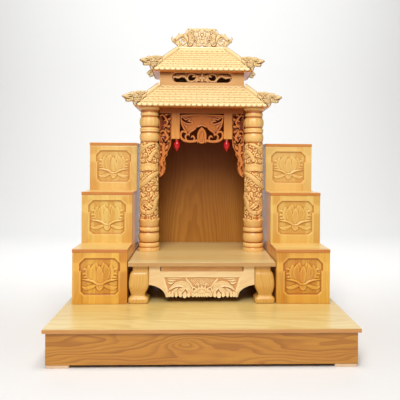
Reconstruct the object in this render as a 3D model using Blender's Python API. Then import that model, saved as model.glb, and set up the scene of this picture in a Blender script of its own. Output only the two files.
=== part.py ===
"""Household altar cabinet: a roofed shrine on a low table, between two stair-shaped side units, on a box base.

Metres, +Z up. The origin is the centre of the base's footprint, at the underside of its two cleats.
-Y is the front, +X is to the right of someone who faces the altar.
"""

import math

import bpy
import numpy as np
from mathutils import Matrix, Vector

MM = 0.001
GAP = 0.0003  # clearance between neighbouring pieces

# ---------------------------------------------------------------- driving dimensions
BASE_WIDTH = 0.880
BASE_DEPTH = 0.740
BASE_OVERHANG = 0.008
CLEAT_HEIGHT = 0.009
CLEAT_WIDTH = 0.061
CLEAT_INSET = 0.003
BASE_HEIGHT = 0.109
BASE_TOP_THICKNESS = 0.011
RAIL_THICKNESS = 0.012

TABLE_FRONT = -0.1156  # front edge of the table top and of the lowest steps
TABLE_BACK = 0.330
TABLE_HALF_WIDTH = 0.240
TABLE_HEIGHT = 0.244
TABLE_TOP_THICKNESS = 0.014

STEP_INNER = 0.2424
STEP_OUTER = 0.4180
STEP_RISE = 0.1775
STEP_FRONTS = (TABLE_FRONT, 0.0198, 0.1571)
STEP_BOARD = 0.013
STEP_TOP_THICKNESS = 0.011
STEP_BACK_THICKNESS = 0.005
STEP_LIP = 0.001

PANEL_THICKNESS = 0.012
RECESS_WIDTH = 0.130
RECESS_HEIGHT = 0.120
RECESS_CORNER = 0.016
RECESS_DEPTH = 0.0045
RECESS_RISE = 0.088  # centre of the recess above the foot of its riser

COLUMN_X = 0.1932
COLUMN_Y = 0.1234
CANOPY_UNDERSIDE = 0.7500
LINTEL_CLEARANCE = 0.0389  # from a column's axis to the end of the lintel
BRACKET_CLEARANCE = 0.0359  # from a column's axis to the back edge of the bracket beside it
WALL_CLEARANCE = 0.0403  # from a column's axis to the front edge of the niche's side wall
EAVE_Z = 0.769

WALL_INNER = 0.187
WALL_OUTER = 0.199
BACK_WALL_INNER = 0.317
BACK_WALL_OUTER = 0.325
POST_INNER = 0.0815
POST_OUTER = 0.112
POST_FOOT = 0.6556
CANOPY_THICKNESS = 0.020
FRETWORK_THICKNESS = 0.010
VALANCE_SQUEEZE = 0.957  # the drawing of the valance is this much taller than the board

LOWER_EAVE_THICKNESS = 0.007
LOWER_ROOF_HALF_WIDTH = 0.2414
LOWER_ROOF_FRONT = 0.0716
LOWER_ROOF_TOP = 0.8565
ATTIC_HALF_WIDTH = 0.1585
ATTIC_FRONT = 0.1545
ATTIC_BACK = 0.3035
EAVE_INSET = 0.002
ATTIC_BOARD = 0.008
WINDOW_MIDDLE = 0.888  # height of the middle of the attic's window
UPPER_EAVE_Z = 0.9074
UPPER_EAVE_THICKNESS = 0.008
UPPER_ROOF_HALF_WIDTH = 0.186
UPPER_ROOF_FRONT = 0.1248
UPPER_ROOF_BACK = 0.3288
UPPER_ROOF_TOP = 1.008
RIDGE_HALF_LENGTH = 0.089
RIDGE_HALF_FLAT = 0.005
HIP_CHAMFER = 0.006
HIP_CHAMFER_AT_RIDGE = 0.002
ROOF_WALL = 0.011

RIDGE_BOARD_HEIGHT = 0.012
RIDGE_BOARD_OVERHANG = 0.006
RIDGE_THICKNESS = 0.012
HIP_THICKNESS = 0.010
HIP_CLEARANCE = 0.0004  # kept under a rib besides the usual gap
LOWER_RIB_SHORT, UPPER_RIB_SHORT = 0.0068, 0.0085  # how much shorter than its hip a rib is

SHELF_HALF_WIDTH = 0.1335
SLOT_HALF_WIDTH = 0.136
SLOT_FLOOR = 0.2122
SHELF_THICKNESS = 0.0135
SHELF_LENGTH = 0.335


# ---------------------------------------------------------------- scene and materials
def clear_scene():
    for found in list(bpy.data.objects):
        bpy.data.objects.remove(found)


def make_material(name, colour, roughness, metallic=0.0):
    material = bpy.data.materials.new(name)
    material.use_nodes = True
    shader = material.node_tree.nodes["Principled BSDF"]
    shader.inputs["Base Color"].default_value = (*colour, 1.0)
    shader.inputs["Roughness"].default_value = roughness
    shader.inputs["Metallic"].default_value = metallic
    return material


clear_scene()
PINE = make_material("honey_pine", (0.80, 0.50, 0.18), 0.35)
CARVED = make_material("pale_carved_wood", (0.86, 0.62, 0.32), 0.40)
VENEER = make_material("brown_veneer", (0.38, 0.19, 0.07), 0.45)
RED = make_material("red_lamp", (0.55, 0.01, 0.02), 0.20)


# ---------------------------------------------------------------- building blocks
def add_mesh(name, vertices, faces, material):
    mesh = bpy.data.meshes.new(name)
    mesh.from_pydata([tuple(v) for v in vertices], [], [tuple(f) for f in faces])
    mesh.validate()
    mesh.materials.append(material)
    made = bpy.data.objects.new(name, mesh)
    bpy.context.scene.collection.objects.link(made)
    return made


def add_box(name, x_range, y_range, z_range, material):
    """An upright board or block between three pairs of planes."""
    corners = [(x, y, z) for x in sorted(x_range) for y in sorted(y_range) for z in sorted(z_range)]
    faces = [(0, 1, 3, 2), (4, 6, 7, 5), (0, 4, 5, 1), (2, 3, 7, 6), (0, 2, 6, 4), (1, 5, 7, 3)]
    return add_mesh(name, corners, faces, material)


def stack_rings(rings):
    """(vertices, faces) of a closed solid whose surface runs through rings of equal length, first to last.

    Each ring turns anticlockwise seen from the end of the stack, and both ends are capped.
    """
    count = len(rings[0])
    vertices = [v for ring in rings for v in ring]
    faces = []
    for level in range(len(rings) - 1):
        low, high = level * count, (level + 1) * count
        for i in range(count):
            j = (i + 1) % count
            faces.append((low + i, low + j, high + j, high + i))
    faces.append(tuple(reversed(range(count))))
    top = (len(rings) - 1) * count
    faces.append(tuple(range(top, top + count)))
    return vertices, faces


def add_plate(name, loops, thickness, place, material):
    """A flat plate cut to closed loops, outer and holes alike, extruded both ways from its own plane.

    The loops are (across, up) pairs in metres, and place is the matrix that stands the plate up.
    """
    curve = bpy.data.curves.new(name, "CURVE")
    curve.dimensions = "2D"
    curve.fill_mode = "BOTH"
    curve.extrude = thickness / 2
    for loop in loops:
        line = curve.splines.new("POLY")
        line.points.add(len(loop) - 1)
        for point, (across, up) in zip(line.points, loop):
            point.co = (across, up, 0.0, 1.0)
        line.use_cyclic_u = True
    curve.materials.append(material)
    made = bpy.data.objects.new(name, curve)
    made.matrix_world = place
    bpy.context.scene.collection.objects.link(made)
    return made


def upright(x=0.0, y=0.0, z=0.0, turn=0.0):
    """Stands a plate up: its own X goes across, its own Y goes up. Turn swings it about Z."""
    return Matrix.Translation((x, y, z)) @ Matrix.Rotation(turn, 4, "Z") @ Matrix.Rotation(math.pi / 2, 4, "X")


def boolean(target, cutter, operation):
    modifier = target.modifiers.new(operation.lower(), "BOOLEAN")
    modifier.operation = operation
    modifier.object = cutter
    cutter.hide_render = True
    cutter.display_type = "WIRE"


# ---------------------------------------------------------------- carving drawn with tapered strokes
def smooth_path(points, per_span=6):
    """Catmull-Rom curve through points given as (across, up, radius), sampled per_span times a span."""
    knots = np.array(points, float)
    knots = np.vstack([2 * knots[0] - knots[1], knots, 2 * knots[-1] - knots[-2]])
    share = np.linspace(0.0, 1.0, per_span, endpoint=False)[:, None]
    spans = []
    for a, b, c, d in zip(knots[:-3], knots[1:-2], knots[2:-1], knots[3:]):
        spans.append(
            0.5 * (2 * b + (c - a) * share + (2 * a - 5 * b + 4 * c - d) * share**2 + (3 * b - a - 3 * c + d) * share**3)
        )
    return np.vstack([*spans, knots[-2][None, :]])


def curl(x, z, size, start, turns, width, tip=0.45):
    """A volute: a stroke whose distance from (x, z) shrinks as it turns. Angles are in degrees, turns is signed."""
    steps = max(4, int(abs(turns) * 8))
    points = []
    for i in range(steps + 1):
        share = i / steps
        angle = math.radians(start) + turns * 2 * math.pi * share
        reach = size * (1 - 0.78 * share)
        points.append((x + reach * math.cos(angle), z + reach * math.sin(angle), width * (1 - (1 - tip) * share)))
    return points


def mirrored(strokes):
    return strokes + [[(-x, z, r) for x, z, r in stroke] for stroke in strokes]


def stroke_depth(across, up, stroke):
    """How far inside a tapered stroke each grid point is: its radius there minus the distance to its middle line."""
    path = smooth_path(stroke) if len(stroke) > 2 else np.array(stroke, float)
    best = np.full(across.shape, -1.0)
    for (x0, z0, r0), (x1, z1, r1) in zip(path[:-1], path[1:]):
        dx, dz = x1 - x0, z1 - z0
        length = dx * dx + dz * dz + 1e-15
        share = np.clip(((across - x0) * dx + (up - z0) * dz) / length, 0.0, 1.0)
        away = np.hypot(across - x0 - share * dx, up - z0 - share * dz)
        best = np.maximum(best, r0 + share * (r1 - r0) - away)
    return best


def stroke_union(across, up, strokes):
    return np.max([stroke_depth(across, up, stroke) for stroke in strokes], axis=0)


def box_depth(across, up, low, high):
    """How far inside an upright rectangle each grid point is."""
    return np.minimum.reduce([across - low[0], high[0] - across, up - low[1], high[1] - up])


def ellipse_depth(across, up, centre, radii):
    """Roughly how far inside an ellipse each grid point is."""
    scaled = np.hypot((across - centre[0]) / radii[0], (up - centre[1]) / radii[1])
    return (1.0 - scaled) * min(radii)


CASES = {
    1: ((3, 0),), 2: ((0, 1),), 3: ((3, 1),), 4: ((1, 2),), 5: ((3, 2), (1, 0)), 6: ((0, 2),), 7: ((3, 2),),
    8: ((2, 3),), 9: ((2, 0),), 10: ((0, 3), (2, 1)), 11: ((2, 1),), 12: ((1, 3),), 13: ((1, 0),), 14: ((0, 3),),
}


def contour_loops(shape, low, high, step, tolerance=0.35 * MM):
    """Closed loops around the region where shape(across, up) is positive, by marching squares on a regular grid."""
    xs = np.arange(low[0] - step, high[0] + 2 * step, step)
    zs = np.arange(low[1] - step, high[1] + 2 * step, step)
    across, up = np.meshgrid(xs, zs, indexing="ij")
    values = shape(across, up)
    values[[0, -1], :] = -step
    values[:, [0, -1]] = -step
    values[np.abs(values) < 1e-6] = 1e-6
    inside = values > 0
    code = inside[:-1, :-1] * 1 + inside[1:, :-1] * 2 + inside[1:, 1:] * 4 + inside[:-1, 1:] * 8
    corners = ((0, 0), (1, 0), (1, 1), (0, 1))

    def crossing(i, j, edge):
        a, b = corners[edge], corners[(edge + 1) % 4]
        p, q = sorted(((i + a[0], j + a[1]), (i + b[0], j + b[1])))
        return p, q

    following = {}
    for i, j in zip(*np.nonzero((code > 0) & (code < 15))):
        for start, end in CASES[int(code[i, j])]:
            following[crossing(i, j, start)] = crossing(i, j, end)
    loops = []
    while following:
        first = next(iter(following))
        key, loop = first, []
        while key in following:
            (pi, pj), (qi, qj) = key
            share = values[pi, pj] / (values[pi, pj] - values[qi, qj])
            share = min(max(share, 0.01), 0.99)
            loop.append((xs[pi] + share * (xs[qi] - xs[pi]), zs[pj] + share * (zs[qj] - zs[pj])))
            key = following.pop(key)
        loop = thin_out(loop, tolerance)
        if abs(loop_area(loop)) > 6 * MM * MM:
            loops.append(loop)
    return loops


def loop_area(loop):
    x, z = np.array(loop).T
    return 0.5 * float(np.sum(x * np.roll(z, -1) - np.roll(x, -1) * z))


def thin_out(loop, tolerance):
    """Drops the points of a closed loop that lie within tolerance of the straight line between those kept."""
    points = np.array(loop)
    half = int(np.argmax(np.hypot(*(points - points[0]).T)))

    def kept(first, last):
        if last <= first + 1:
            return [first]
        a, b = points[first], points[last % len(points)]
        chord = b - a
        span = np.hypot(*chord) + 1e-12
        between = points[first + 1 : last] - a
        away = np.abs(chord[0] * between[:, 1] - chord[1] * between[:, 0]) / span
        worst = int(np.argmax(away))
        if away[worst] < tolerance:
            return [first]
        middle = first + 1 + worst
        return kept(first, middle) + kept(middle, last)

    return [tuple(points[i]) for i in kept(0, half) + kept(half, len(points))]


def scaled(strokes, factor):
    return [[(x * factor, z * factor, r * factor) for x, z, r in stroke] for stroke in strokes]


# ---------------------------------------------------------------- base box
def build_base():
    half_width, half_depth = BASE_WIDTH / 2, BASE_DEPTH / 2
    outer_x, outer_y = half_width - BASE_OVERHANG, half_depth - BASE_OVERHANG
    rail_low, rail_high = CLEAT_HEIGHT + GAP, BASE_HEIGHT - BASE_TOP_THICKNESS - GAP
    add_box(
        "base_top",
        (-half_width, half_width),
        (-half_depth, half_depth),
        (BASE_HEIGHT - BASE_TOP_THICKNESS, BASE_HEIGHT),
        PINE,
    )
    for name, front, back in (
        ("front", -outer_y, -outer_y + RAIL_THICKNESS),
        ("back", outer_y - RAIL_THICKNESS, outer_y),
    ):
        add_box(f"base_rail_{name}", (-outer_x, outer_x), (front, back), (rail_low, rail_high), PINE)
    between = outer_y - RAIL_THICKNESS - GAP
    cleat_outer = outer_x - CLEAT_INSET
    for name, side in (("left", -1), ("right", 1)):
        rail = (side * (outer_x - RAIL_THICKNESS), side * outer_x)
        cleat = (side * (cleat_outer - CLEAT_WIDTH), side * cleat_outer)
        add_box(f"base_rail_{name}", rail, (-between, between), (rail_low, rail_high), PINE)
        add_box(f"base_cleat_{name}", cleat, (-outer_y + 0.001, outer_y - 0.001), (0.0, CLEAT_HEIGHT), PINE)


# ---------------------------------------------------------------- stair-shaped side units
def petal(x0, z0, x1, z1, width, sway=0.0):
    """A leaf-shaped stroke from its root to its tip, swelling to width in the middle and bowing by sway."""
    dx, dz = x1 - x0, z1 - z0
    length = math.hypot(dx, dz)
    across = (-dz / length, dx / length)
    shares = ((0.0, 0.35), (0.3, 0.85), (0.55, 1.0), (0.8, 0.62), (1.0, 0.12))
    return [
        (
            x0 + dx * s + across[0] * sway * 4 * s * (1 - s),
            z0 + dz * s + across[1] * sway * 4 * s * (1 - s),
            width * swell,
        )
        for s, swell in shares
    ]


def lotus_strokes():
    """The open lotus with its two sweeping leaves, in metres about the centre of the recess."""
    half = [
        petal(7, -14, 21, 32, 8.5, 4),
        petal(12, -16, 36, 21, 7.5, 6),
        petal(17, -18, 46, 7, 6.0, 6),
        [(4, -25, 3.0), (22, -24, 3.6), (38, -13, 3.2), (52, -4, 2.0)],
        petal(16, -27, 48, -36, 6.5, 4),
        petal(46, 28, 55, 14, 3.5, -3),
    ]
    middle = [petal(0, -18, 0, 40, 11.0), petal(0, -24, 0, -47, 7.5)]
    return scaled(mirrored(half) + middle, MM)


def recess_depth(across, up):
    """How far inside the cut-cornered recess each grid point is."""
    half_x, half_z = RECESS_WIDTH / 2, RECESS_HEIGHT / 2
    corner = (half_x + half_z - RECESS_CORNER - np.abs(across) - np.abs(up)) / math.sqrt(2)
    return np.minimum(box_depth(across, up, (-half_x, -half_z), (half_x, half_z)), corner)


def build_carved_panel(name, x_range, front, z_range, recess_z):
    """A riser board: a plain back, a front layer with the recess cut through it, and the lotus left standing."""
    middle = sum(x_range) / 2
    back_layer = (front + RECESS_DEPTH, front + PANEL_THICKNESS)
    panel = add_box(name, x_range, back_layer, z_range, PINE)
    low = (-(x_range[1] - x_range[0]) / 2, z_range[0] - recess_z)
    high = (-low[0], z_range[1] - recess_z)
    half_x, half_z = RECESS_WIDTH / 2, RECESS_HEIGHT / 2
    rim = [low, (high[0], low[1]), high, (low[0], high[1])]
    hole = [
        (half_x, half_z - RECESS_CORNER),
        (half_x - RECESS_CORNER, half_z),
        (RECESS_CORNER - half_x, half_z),
        (-half_x, half_z - RECESS_CORNER),
        (-half_x, RECESS_CORNER - half_z),
        (RECESS_CORNER - half_x, -half_z),
        (half_x - RECESS_CORNER, -half_z),
        (half_x, RECESS_CORNER - half_z),
    ]
    overlap = 0.001
    frame = add_plate(
        name + "_rim",
        [rim, hole],
        RECESS_DEPTH + overlap,
        upright(middle, front + (RECESS_DEPTH + overlap) / 2, recess_z),
        PINE,
    )
    strokes = lotus_strokes()
    loops = contour_loops(
        lambda x, z: np.minimum(stroke_union(x, z, strokes), recess_depth(x, z) - 2 * MM),
        (-half_x, -half_z),
        (half_x, half_z),
        3 * MM,
        1.3 * MM,
    )
    relief = RECESS_DEPTH - 0.001 + overlap
    flower = add_plate(name + "_lotus", loops, relief, upright(middle, front + 0.001 + relief / 2, recess_z), PINE)
    for shape in (frame, flower):
        mesh = bpy.data.meshes.new_from_object(shape.evaluated_get(bpy.context.evaluated_depsgraph_get()))
        solid = bpy.data.objects.new(shape.name + "_solid", mesh)
        solid.matrix_world = shape.matrix_world
        bpy.context.scene.collection.objects.link(solid)
        bpy.data.objects.remove(shape)
        weld = solid.modifiers.new("weld", "WELD")
        weld.merge_threshold = 0.00001
        boolean(panel, solid, "UNION")
    return panel


def build_steps(side_name, side):
    foot = BASE_HEIGHT + GAP
    tops = [BASE_HEIGHT + STEP_RISE * (k + 1) for k in range(3)]
    ends = [*STEP_FRONTS[1:], TABLE_BACK]

    def across(near, far):
        return tuple(sorted((side * near, side * far)))

    stair = [(TABLE_BACK, foot), (TABLE_BACK, tops[2] - STEP_TOP_THICKNESS - GAP)]
    for k in (2, 1, 0):
        behind_panel = STEP_FRONTS[k] + PANEL_THICKNESS + GAP
        stair.append((behind_panel, tops[k] - STEP_TOP_THICKNESS - GAP))
        stair.append((behind_panel, tops[k - 1] - STEP_TOP_THICKNESS - GAP if k else foot))
    for name, near in (("inner", STEP_INNER), ("outer", STEP_OUTER - STEP_BOARD)):
        middle = side * (near + STEP_BOARD / 2)
        place = Matrix.Translation((middle, 0, 0)) @ Matrix.Rotation(math.pi / 2, 4, "Z")
        add_plate(
            f"steps_{side_name}_{name}_side",
            [stair],
            STEP_BOARD,
            place @ Matrix.Rotation(math.pi / 2, 4, "X"),
            PINE,
        )
    inside = across(STEP_INNER + STEP_BOARD + GAP, STEP_OUTER - STEP_BOARD - GAP)
    add_box(
        f"steps_{side_name}_back",
        inside,
        (TABLE_BACK - STEP_BACK_THICKNESS, TABLE_BACK),
        (foot, tops[2] - STEP_TOP_THICKNESS - GAP),
        PINE,
    )
    for k, level_name in enumerate(("low", "mid", "high")):
        bottom = BASE_HEIGHT + STEP_RISE * k
        panel_foot = foot if k == 0 else bottom - STEP_TOP_THICKNESS
        build_carved_panel(
            f"steps_{side_name}_panel_{level_name}",
            across(STEP_INNER, STEP_OUTER),
            STEP_FRONTS[k],
            (panel_foot, tops[k] - STEP_TOP_THICKNESS - GAP),
            bottom + RECESS_RISE,
        )
        add_box(
            f"steps_{side_name}_top_{level_name}",
            across(STEP_INNER - STEP_LIP, STEP_OUTER + STEP_LIP),
            (STEP_FRONTS[k] - STEP_LIP, ends[k] - (GAP if k < 2 else 0.0)),
            (tops[k] - STEP_TOP_THICKNESS, tops[k]),
            PINE,
        )


# ---------------------------------------------------------------- table with cabriole legs
LEG_OUTLINE = (  # height above the base top, outward reach, inner reach (mm); the foot is at the bottom
    (0.3, 238.0, 175.0), (4.0, 239.5, 173.0), (13.0, 239.5, 173.0), (19.0, 236.5, 177.0), (25.0, 232.0, 183.0),
    (31.0, 231.6, 184.0), (40.0, 234.6, 181.0), (50.0, 237.4, 176.5), (62.0, 238.4, 172.6), (76.0, 237.4, 172.6),
    (90.0, 235.0, 172.6), (100.0, 231.5, 172.6), (103.0, 227.6, 172.6), (120.7, 227.5, 172.6),
)
FOOT_FRONT = TABLE_FRONT + 0.0011
APRON_FACE = FOOT_FRONT + 0.012  # a little behind the feet
APRON_THICKNESS = 0.015
APRON_SET_BACK = 0.012  # of the back and side aprons behind the feet
APRON_TOP = 0.2297
APRON_HALF_LENGTH = 0.1722
APRON_BODY_BOTTOM = 0.131
LEG_DEPTH = 0.0549
SIDE_APRON_OUTER = 0.2275
PLAIN_APRON_BOTTOM = 0.165
BACK_BOARD_LIFT = 0.002  # the closed board at the table's back hangs this far above the base
BACK_FOOT = TABLE_BACK - 0.0011


def build_leg(name, side, is_front):
    rings = []
    for height, outward, inward in LEG_OUTLINE:
        z = BASE_HEIGHT + height * MM
        reach, inner = outward * MM, inward * MM
        set_back = 0.2395 - reach
        depth = reach - inner
        y_out = FOOT_FRONT + set_back if is_front else BACK_FOOT - set_back
        y_in = y_out + depth if is_front else y_out - depth
        xs, ys = sorted((side * reach, side * inner)), sorted((y_out, y_in))
        rings.append([(xs[0], ys[0], z), (xs[1], ys[0], z), (xs[1], ys[1], z), (xs[0], ys[1], z)])
    vertices, faces = stack_rings(rings)
    return add_mesh(name, vertices, faces, CARVED)


def front_apron_shape(across, up):
    """The carved front apron: a notch for the shelf, an arch beside each leg and a scalloped lower edge."""
    x = np.abs(across)
    body = box_depth(x, up, (-1.0, APRON_BODY_BOTTOM), (APRON_HALF_LENGTH, APRON_TOP))
    arch = ellipse_depth(x, up, (0.181, 0.1285), (0.0625, 0.0400))
    notch = box_depth(x, up, (-1.0, SLOT_FLOOR), (SLOT_HALF_WIDTH, 1.0))
    lobes = [(0, 132, 4.5), (9, 131, 4), (18, 131.5, 4.5), (29, 134, 5), (43, 134, 6), (56, 133, 7.5), (70, 134.5, 6)]
    lobes += [(84, 133.5, 5.5), (96, 133.5, 5), (106, 134, 5.5), (113.5, 131, 3.2)]
    scallops = stroke_union(x, up, [[(cx * MM, cz * MM, r * MM)] * 2 for cx, cz, r in lobes])
    ends = box_depth(x, up, (0.1165, 0.0), (APRON_HALF_LENGTH, APRON_TOP))
    body = np.maximum(np.minimum(body, 0.119 - x), np.maximum(scallops, np.minimum(ends, up - 0.128)))
    return np.minimum(body, -np.maximum(arch, notch))


def plain_apron_shape(half_length):
    """A plain side apron with the same quarter arches at its two ends."""

    def shape(across, up):
        x = np.abs(across)
        board = box_depth(x, up, (-1.0, PLAIN_APRON_BOTTOM), (half_length, APRON_TOP))
        corner = ellipse_depth(x, up, (half_length + 0.010, 0.150), (0.050, 0.035))
        return np.minimum(board, -corner)

    return shape


def build_table():
    add_box(
        "table_top",
        (-TABLE_HALF_WIDTH, TABLE_HALF_WIDTH),
        (TABLE_FRONT, TABLE_BACK),
        (TABLE_HEIGHT - TABLE_TOP_THICKNESS, TABLE_HEIGHT),
        PINE,
    )
    for side_name, side in (("left", -1), ("right", 1)):
        build_leg(f"table_leg_front_{side_name}", side, True)
        build_leg(f"table_leg_back_{side_name}", side, False)
    low, high = (-APRON_HALF_LENGTH, 0.120), (APRON_HALF_LENGTH, APRON_TOP)
    loops = contour_loops(front_apron_shape, low, high, 2 * MM, 0.6 * MM)
    add_plate("table_apron_front", loops, APRON_THICKNESS, upright(y=APRON_FACE + APRON_THICKNESS / 2), CARVED)
    half = APRON_HALF_LENGTH
    back_y = BACK_FOOT - APRON_SET_BACK - APRON_THICKNESS / 2
    back_bottom = BASE_HEIGHT + BACK_BOARD_LIFT
    board = [(-half, back_bottom), (half, back_bottom), (half, APRON_TOP), (-half, APRON_TOP)]
    add_plate("table_apron_back", [board], APRON_THICKNESS, upright(y=back_y), CARVED)
    near = FOOT_FRONT + APRON_SET_BACK + LEG_DEPTH + GAP
    far = BACK_FOOT - APRON_SET_BACK - LEG_DEPTH - GAP
    half = (far - near) / 2
    side_loops = contour_loops(plain_apron_shape(half), (-half, 0.16), (half, APRON_TOP), 4 * MM)
    for side_name, side in (("left", -1), ("right", 1)):
        place = upright(side * (SIDE_APRON_OUTER - APRON_THICKNESS / 2), (near + far) / 2, 0, math.pi / 2)
        add_plate(f"table_apron_{side_name}", side_loops, APRON_THICKNESS, place, CARVED)


def build_shelf():
    """The pull-out shelf and the channel board that it slides in."""
    front = APRON_FACE + 0.003
    floor = SLOT_FLOOR + 0.0005
    add_box(
        "pull_out_shelf",
        (-SHELF_HALF_WIDTH, SHELF_HALF_WIDTH),
        (front, front + SHELF_LENGTH),
        (floor, floor + SHELF_THICKNESS),
        PINE,
    )
    guide_front = APRON_FACE + APRON_THICKNESS + GAP
    guide_back = BACK_FOOT - APRON_SET_BACK - APRON_THICKNESS - GAP
    under, lip, inner, outer = SLOT_FLOOR - 0.008, APRON_TOP, SLOT_HALF_WIDTH, SLOT_HALF_WIDTH + 0.014
    channel = [(-outer, under), (outer, under), (outer, lip), (inner, lip), (inner, SLOT_FLOOR), (-inner, SLOT_FLOOR)]
    channel += [(-inner, lip), (-outer, lip)]
    place = upright(y=(guide_front + guide_back) / 2)
    add_plate("shelf_guide", [channel], guide_back - guide_front, place, PINE)


# ---------------------------------------------------------------- shrine body
COLUMN_PROFILE = (  # height above the table top, radius (mm)
    (0.3, 38.2), (3.0, 39.4), (12.0, 39.4), (16.0, 36.8), (19.0, 38.0), (29.0, 38.0), (33.5, 34.6), (42.0, 36.8),
    (58.0, 37.6), (70.0, 36.4), (75.5, 34.8), (79.0, 37.4), (87.0, 37.4), (91.0, 35.0), (104.0, 36.6), (118.0, 38.8),
    (123.0, 34.2), (397.0, 33.6), (402.0, 32.6), (411.0, 34.8), (424.0, 35.2), (435.0, 32.0), (438.0, 35.5),
    (449.5, 35.5), (452.5, 32.4), (461.0, 34.8), (472.0, 35.6), (483.0, 34.4), (493.0, 31.0), (496.5, 33.2),
    (507.0, 33.2), (511.0, 31.4), (518.0, 36.0), (524.7, 38.6),
)
CARVED_FROM, CARVED_TO = 123.0, 397.0
CARVED_RINGS = 10
COLUMN_SIDES = 12


def build_column(name, side):
    """A turned column whose shaft carries the coil of a climbing dragon as a helical swelling."""
    levels = [(z, r, 0.0) for z, r in COLUMN_PROFILE if z <= CARVED_FROM]
    for i in range(1, CARVED_RINGS):
        share = i / CARVED_RINGS
        levels.append((CARVED_FROM + share * (CARVED_TO - CARVED_FROM), 34.1 - 0.6 * math.sin(math.pi * share), 1.0))
    levels += [(z, r, 0.0) for z, r in COLUMN_PROFILE if z >= CARVED_TO]
    rings = []
    for z, radius, carved in levels:
        ring = []
        for i in range(COLUMN_SIDES):
            angle = 2 * math.pi * i / COLUMN_SIDES
            coil = math.cos(side * angle - 2 * math.pi * z / 118.0)
            reach = (radius + carved * 1.2 * coil) * MM
            ring.append((reach * math.cos(angle), reach * math.sin(angle), TABLE_HEIGHT + z * MM))
        rings.append(ring)
    vertices, faces = stack_rings(rings)
    made = add_mesh(name, vertices, faces, CARVED)
    made.location = (side * COLUMN_X, COLUMN_Y, 0.0)
    made.data.shade_smooth()
    return made


# Inner edge of a side bracket: how far it stands back from the post at each drop below the lintel (mm).
BRACKET_EDGE = (
    (0, 0.0), (97, 0.0), (120, 2.0), (135, 7.5), (147, 13.0), (156, 14.0), (163, 21.0), (170, 23.0), (185, 22.0),
    (200, 22.0), (212, 23.5), (224, 27.0), (232, 33.0), (237, 42.0), (238, 46.0),
)


def bracket_holes():
    """Gaps in the foliage of a side bracket: x runs from the post (0) to the column (45), z down from the lintel."""
    rows = [
        [(8, -9, 3.0), (20, -12, 3.6), (31, -9, 3.0)],
        [(37, -20, 2.6), (26, -24, 3.2), (14, -21, 2.6)],
        [(5, -31, 2.4), (12, -37, 3.4), (20, -41, 2.6)],
        [(29, -36, 2.8), (36, -41, 3.0)],
        [(11, -51, 2.4), (8, -61, 2.6)],
        [(29, -53, 2.4), (36, -58, 3.0), (31, -67, 2.4)],
        [(7, -73, 2.8), (9, -82, 2.4)],
        [(33, -92, 2.2), (28, -101, 3.0), (21, -108, 3.4), (14, -101, 2.8), (10, -94, 2.2)],
        [(37, -128, 2.4), (34, -136, 2.4)],
        [(38, -165, 2.6), (34, -173, 2.2)],
        [(38, -196, 2.4), (35, -206, 2.4)],
    ]
    return scaled(rows, MM)


def valance_strokes():
    """The middle valance, in metres from its top centre: (solid strokes, cut strokes).

    A cloud-shaped field with two sweeping wings hangs over a lotus finial between two scrolls.
    """
    half = [
        [(0, -26, 26), (24, -28, 26), (42, -31, 26), (58, -29, 20), (67, -20, 12), (71, -17, 9)],
        [(40, -50, 20), (49, -65, 13), (52, -79, 8)],
        [(71, -16, 8), (73, -28, 7), (68, -44, 8), (60, -58, 9), (52, -70, 9)],
        [(62, -77, 3.0), (68, -71, 3.8), (74, -75, 4.2), (77, -85, 4.6), (72, -97, 5.0), (60, -106, 5.4)],
        [(60, -106, 5.4), (44, -110, 5.4), (28, -109, 5.2), (14, -104, 5.0), (5, -98, 5.0)],
        [(60, -104, 4.0), (54, -96, 4.2), (50, -87, 4.4), (55, -80, 4.0)],
        [(41, -108, 4.0), (38, -99, 3.8), (33, -91, 4.4), (27, -94, 2.6)],
        [(14, -98, 4.0), (21, -89, 4.0), (22, -80, 4.4), (28, -82, 2.4)],
    ]
    middle = [[(0, -58, 2.4), (0, -66, 6.0), (0, -77, 11.0), (0, -88, 15.0), (0, -99, 11.0)]]
    middle += [[(x, -104, 3.0), (x * 1.15, -112, 2.2)] for x in (-13, -6.5, 0, 6.5, 13)]
    cuts = [
        [(0, -52, 3.0), (8, -55, 3.2), (18, -62, 3.6), (28, -69, 4.2), (37, -77, 5.2)],
        [(75, -19, 2.2), (66, -27, 3.2), (56, -33, 2.8), (48, -35, 2.2), (40, -37, 1.2)],
        [(20, -1.5, 1.6), (68, -1.5, 1.6)],
    ]
    return scaled(mirrored(half) + middle, MM), scaled(mirrored(cuts), MM)


def build_shrine_body():
    foot, head = TABLE_HEIGHT + GAP, EAVE_Z - GAP
    for side_name, side in (("left", -1), ("right", 1)):
        build_column(f"column_{side_name}", side)
        wall = tuple(sorted((side * WALL_INNER, side * WALL_OUTER)))
        wall_front = COLUMN_Y + WALL_CLEARANCE
        add_box(f"side_wall_{side_name}", wall, (wall_front, BACK_WALL_INNER - GAP), (foot, head), VENEER)
    add_box("back_wall", (-WALL_OUTER, WALL_OUTER), (BACK_WALL_INNER, BACK_WALL_OUTER), (foot, head), VENEER)
    lintel = COLUMN_X - LINTEL_CLEARANCE
    frame = [(-lintel, head), (-lintel, CANOPY_UNDERSIDE), (-POST_OUTER, CANOPY_UNDERSIDE), (-POST_OUTER, POST_FOOT)]
    frame += [(-POST_INNER, POST_FOOT), (-POST_INNER, CANOPY_UNDERSIDE)]
    frame += [(-x, z) for x, z in reversed(frame)]
    add_plate("canopy_frame", [frame], CANOPY_THICKNESS, upright(y=COLUMN_Y), CARVED)
    build_fretwork()
    for side_name, side in (("left", -1), ("right", 1)):
        build_lamp(f"lamp_{side_name}", side)


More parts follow.
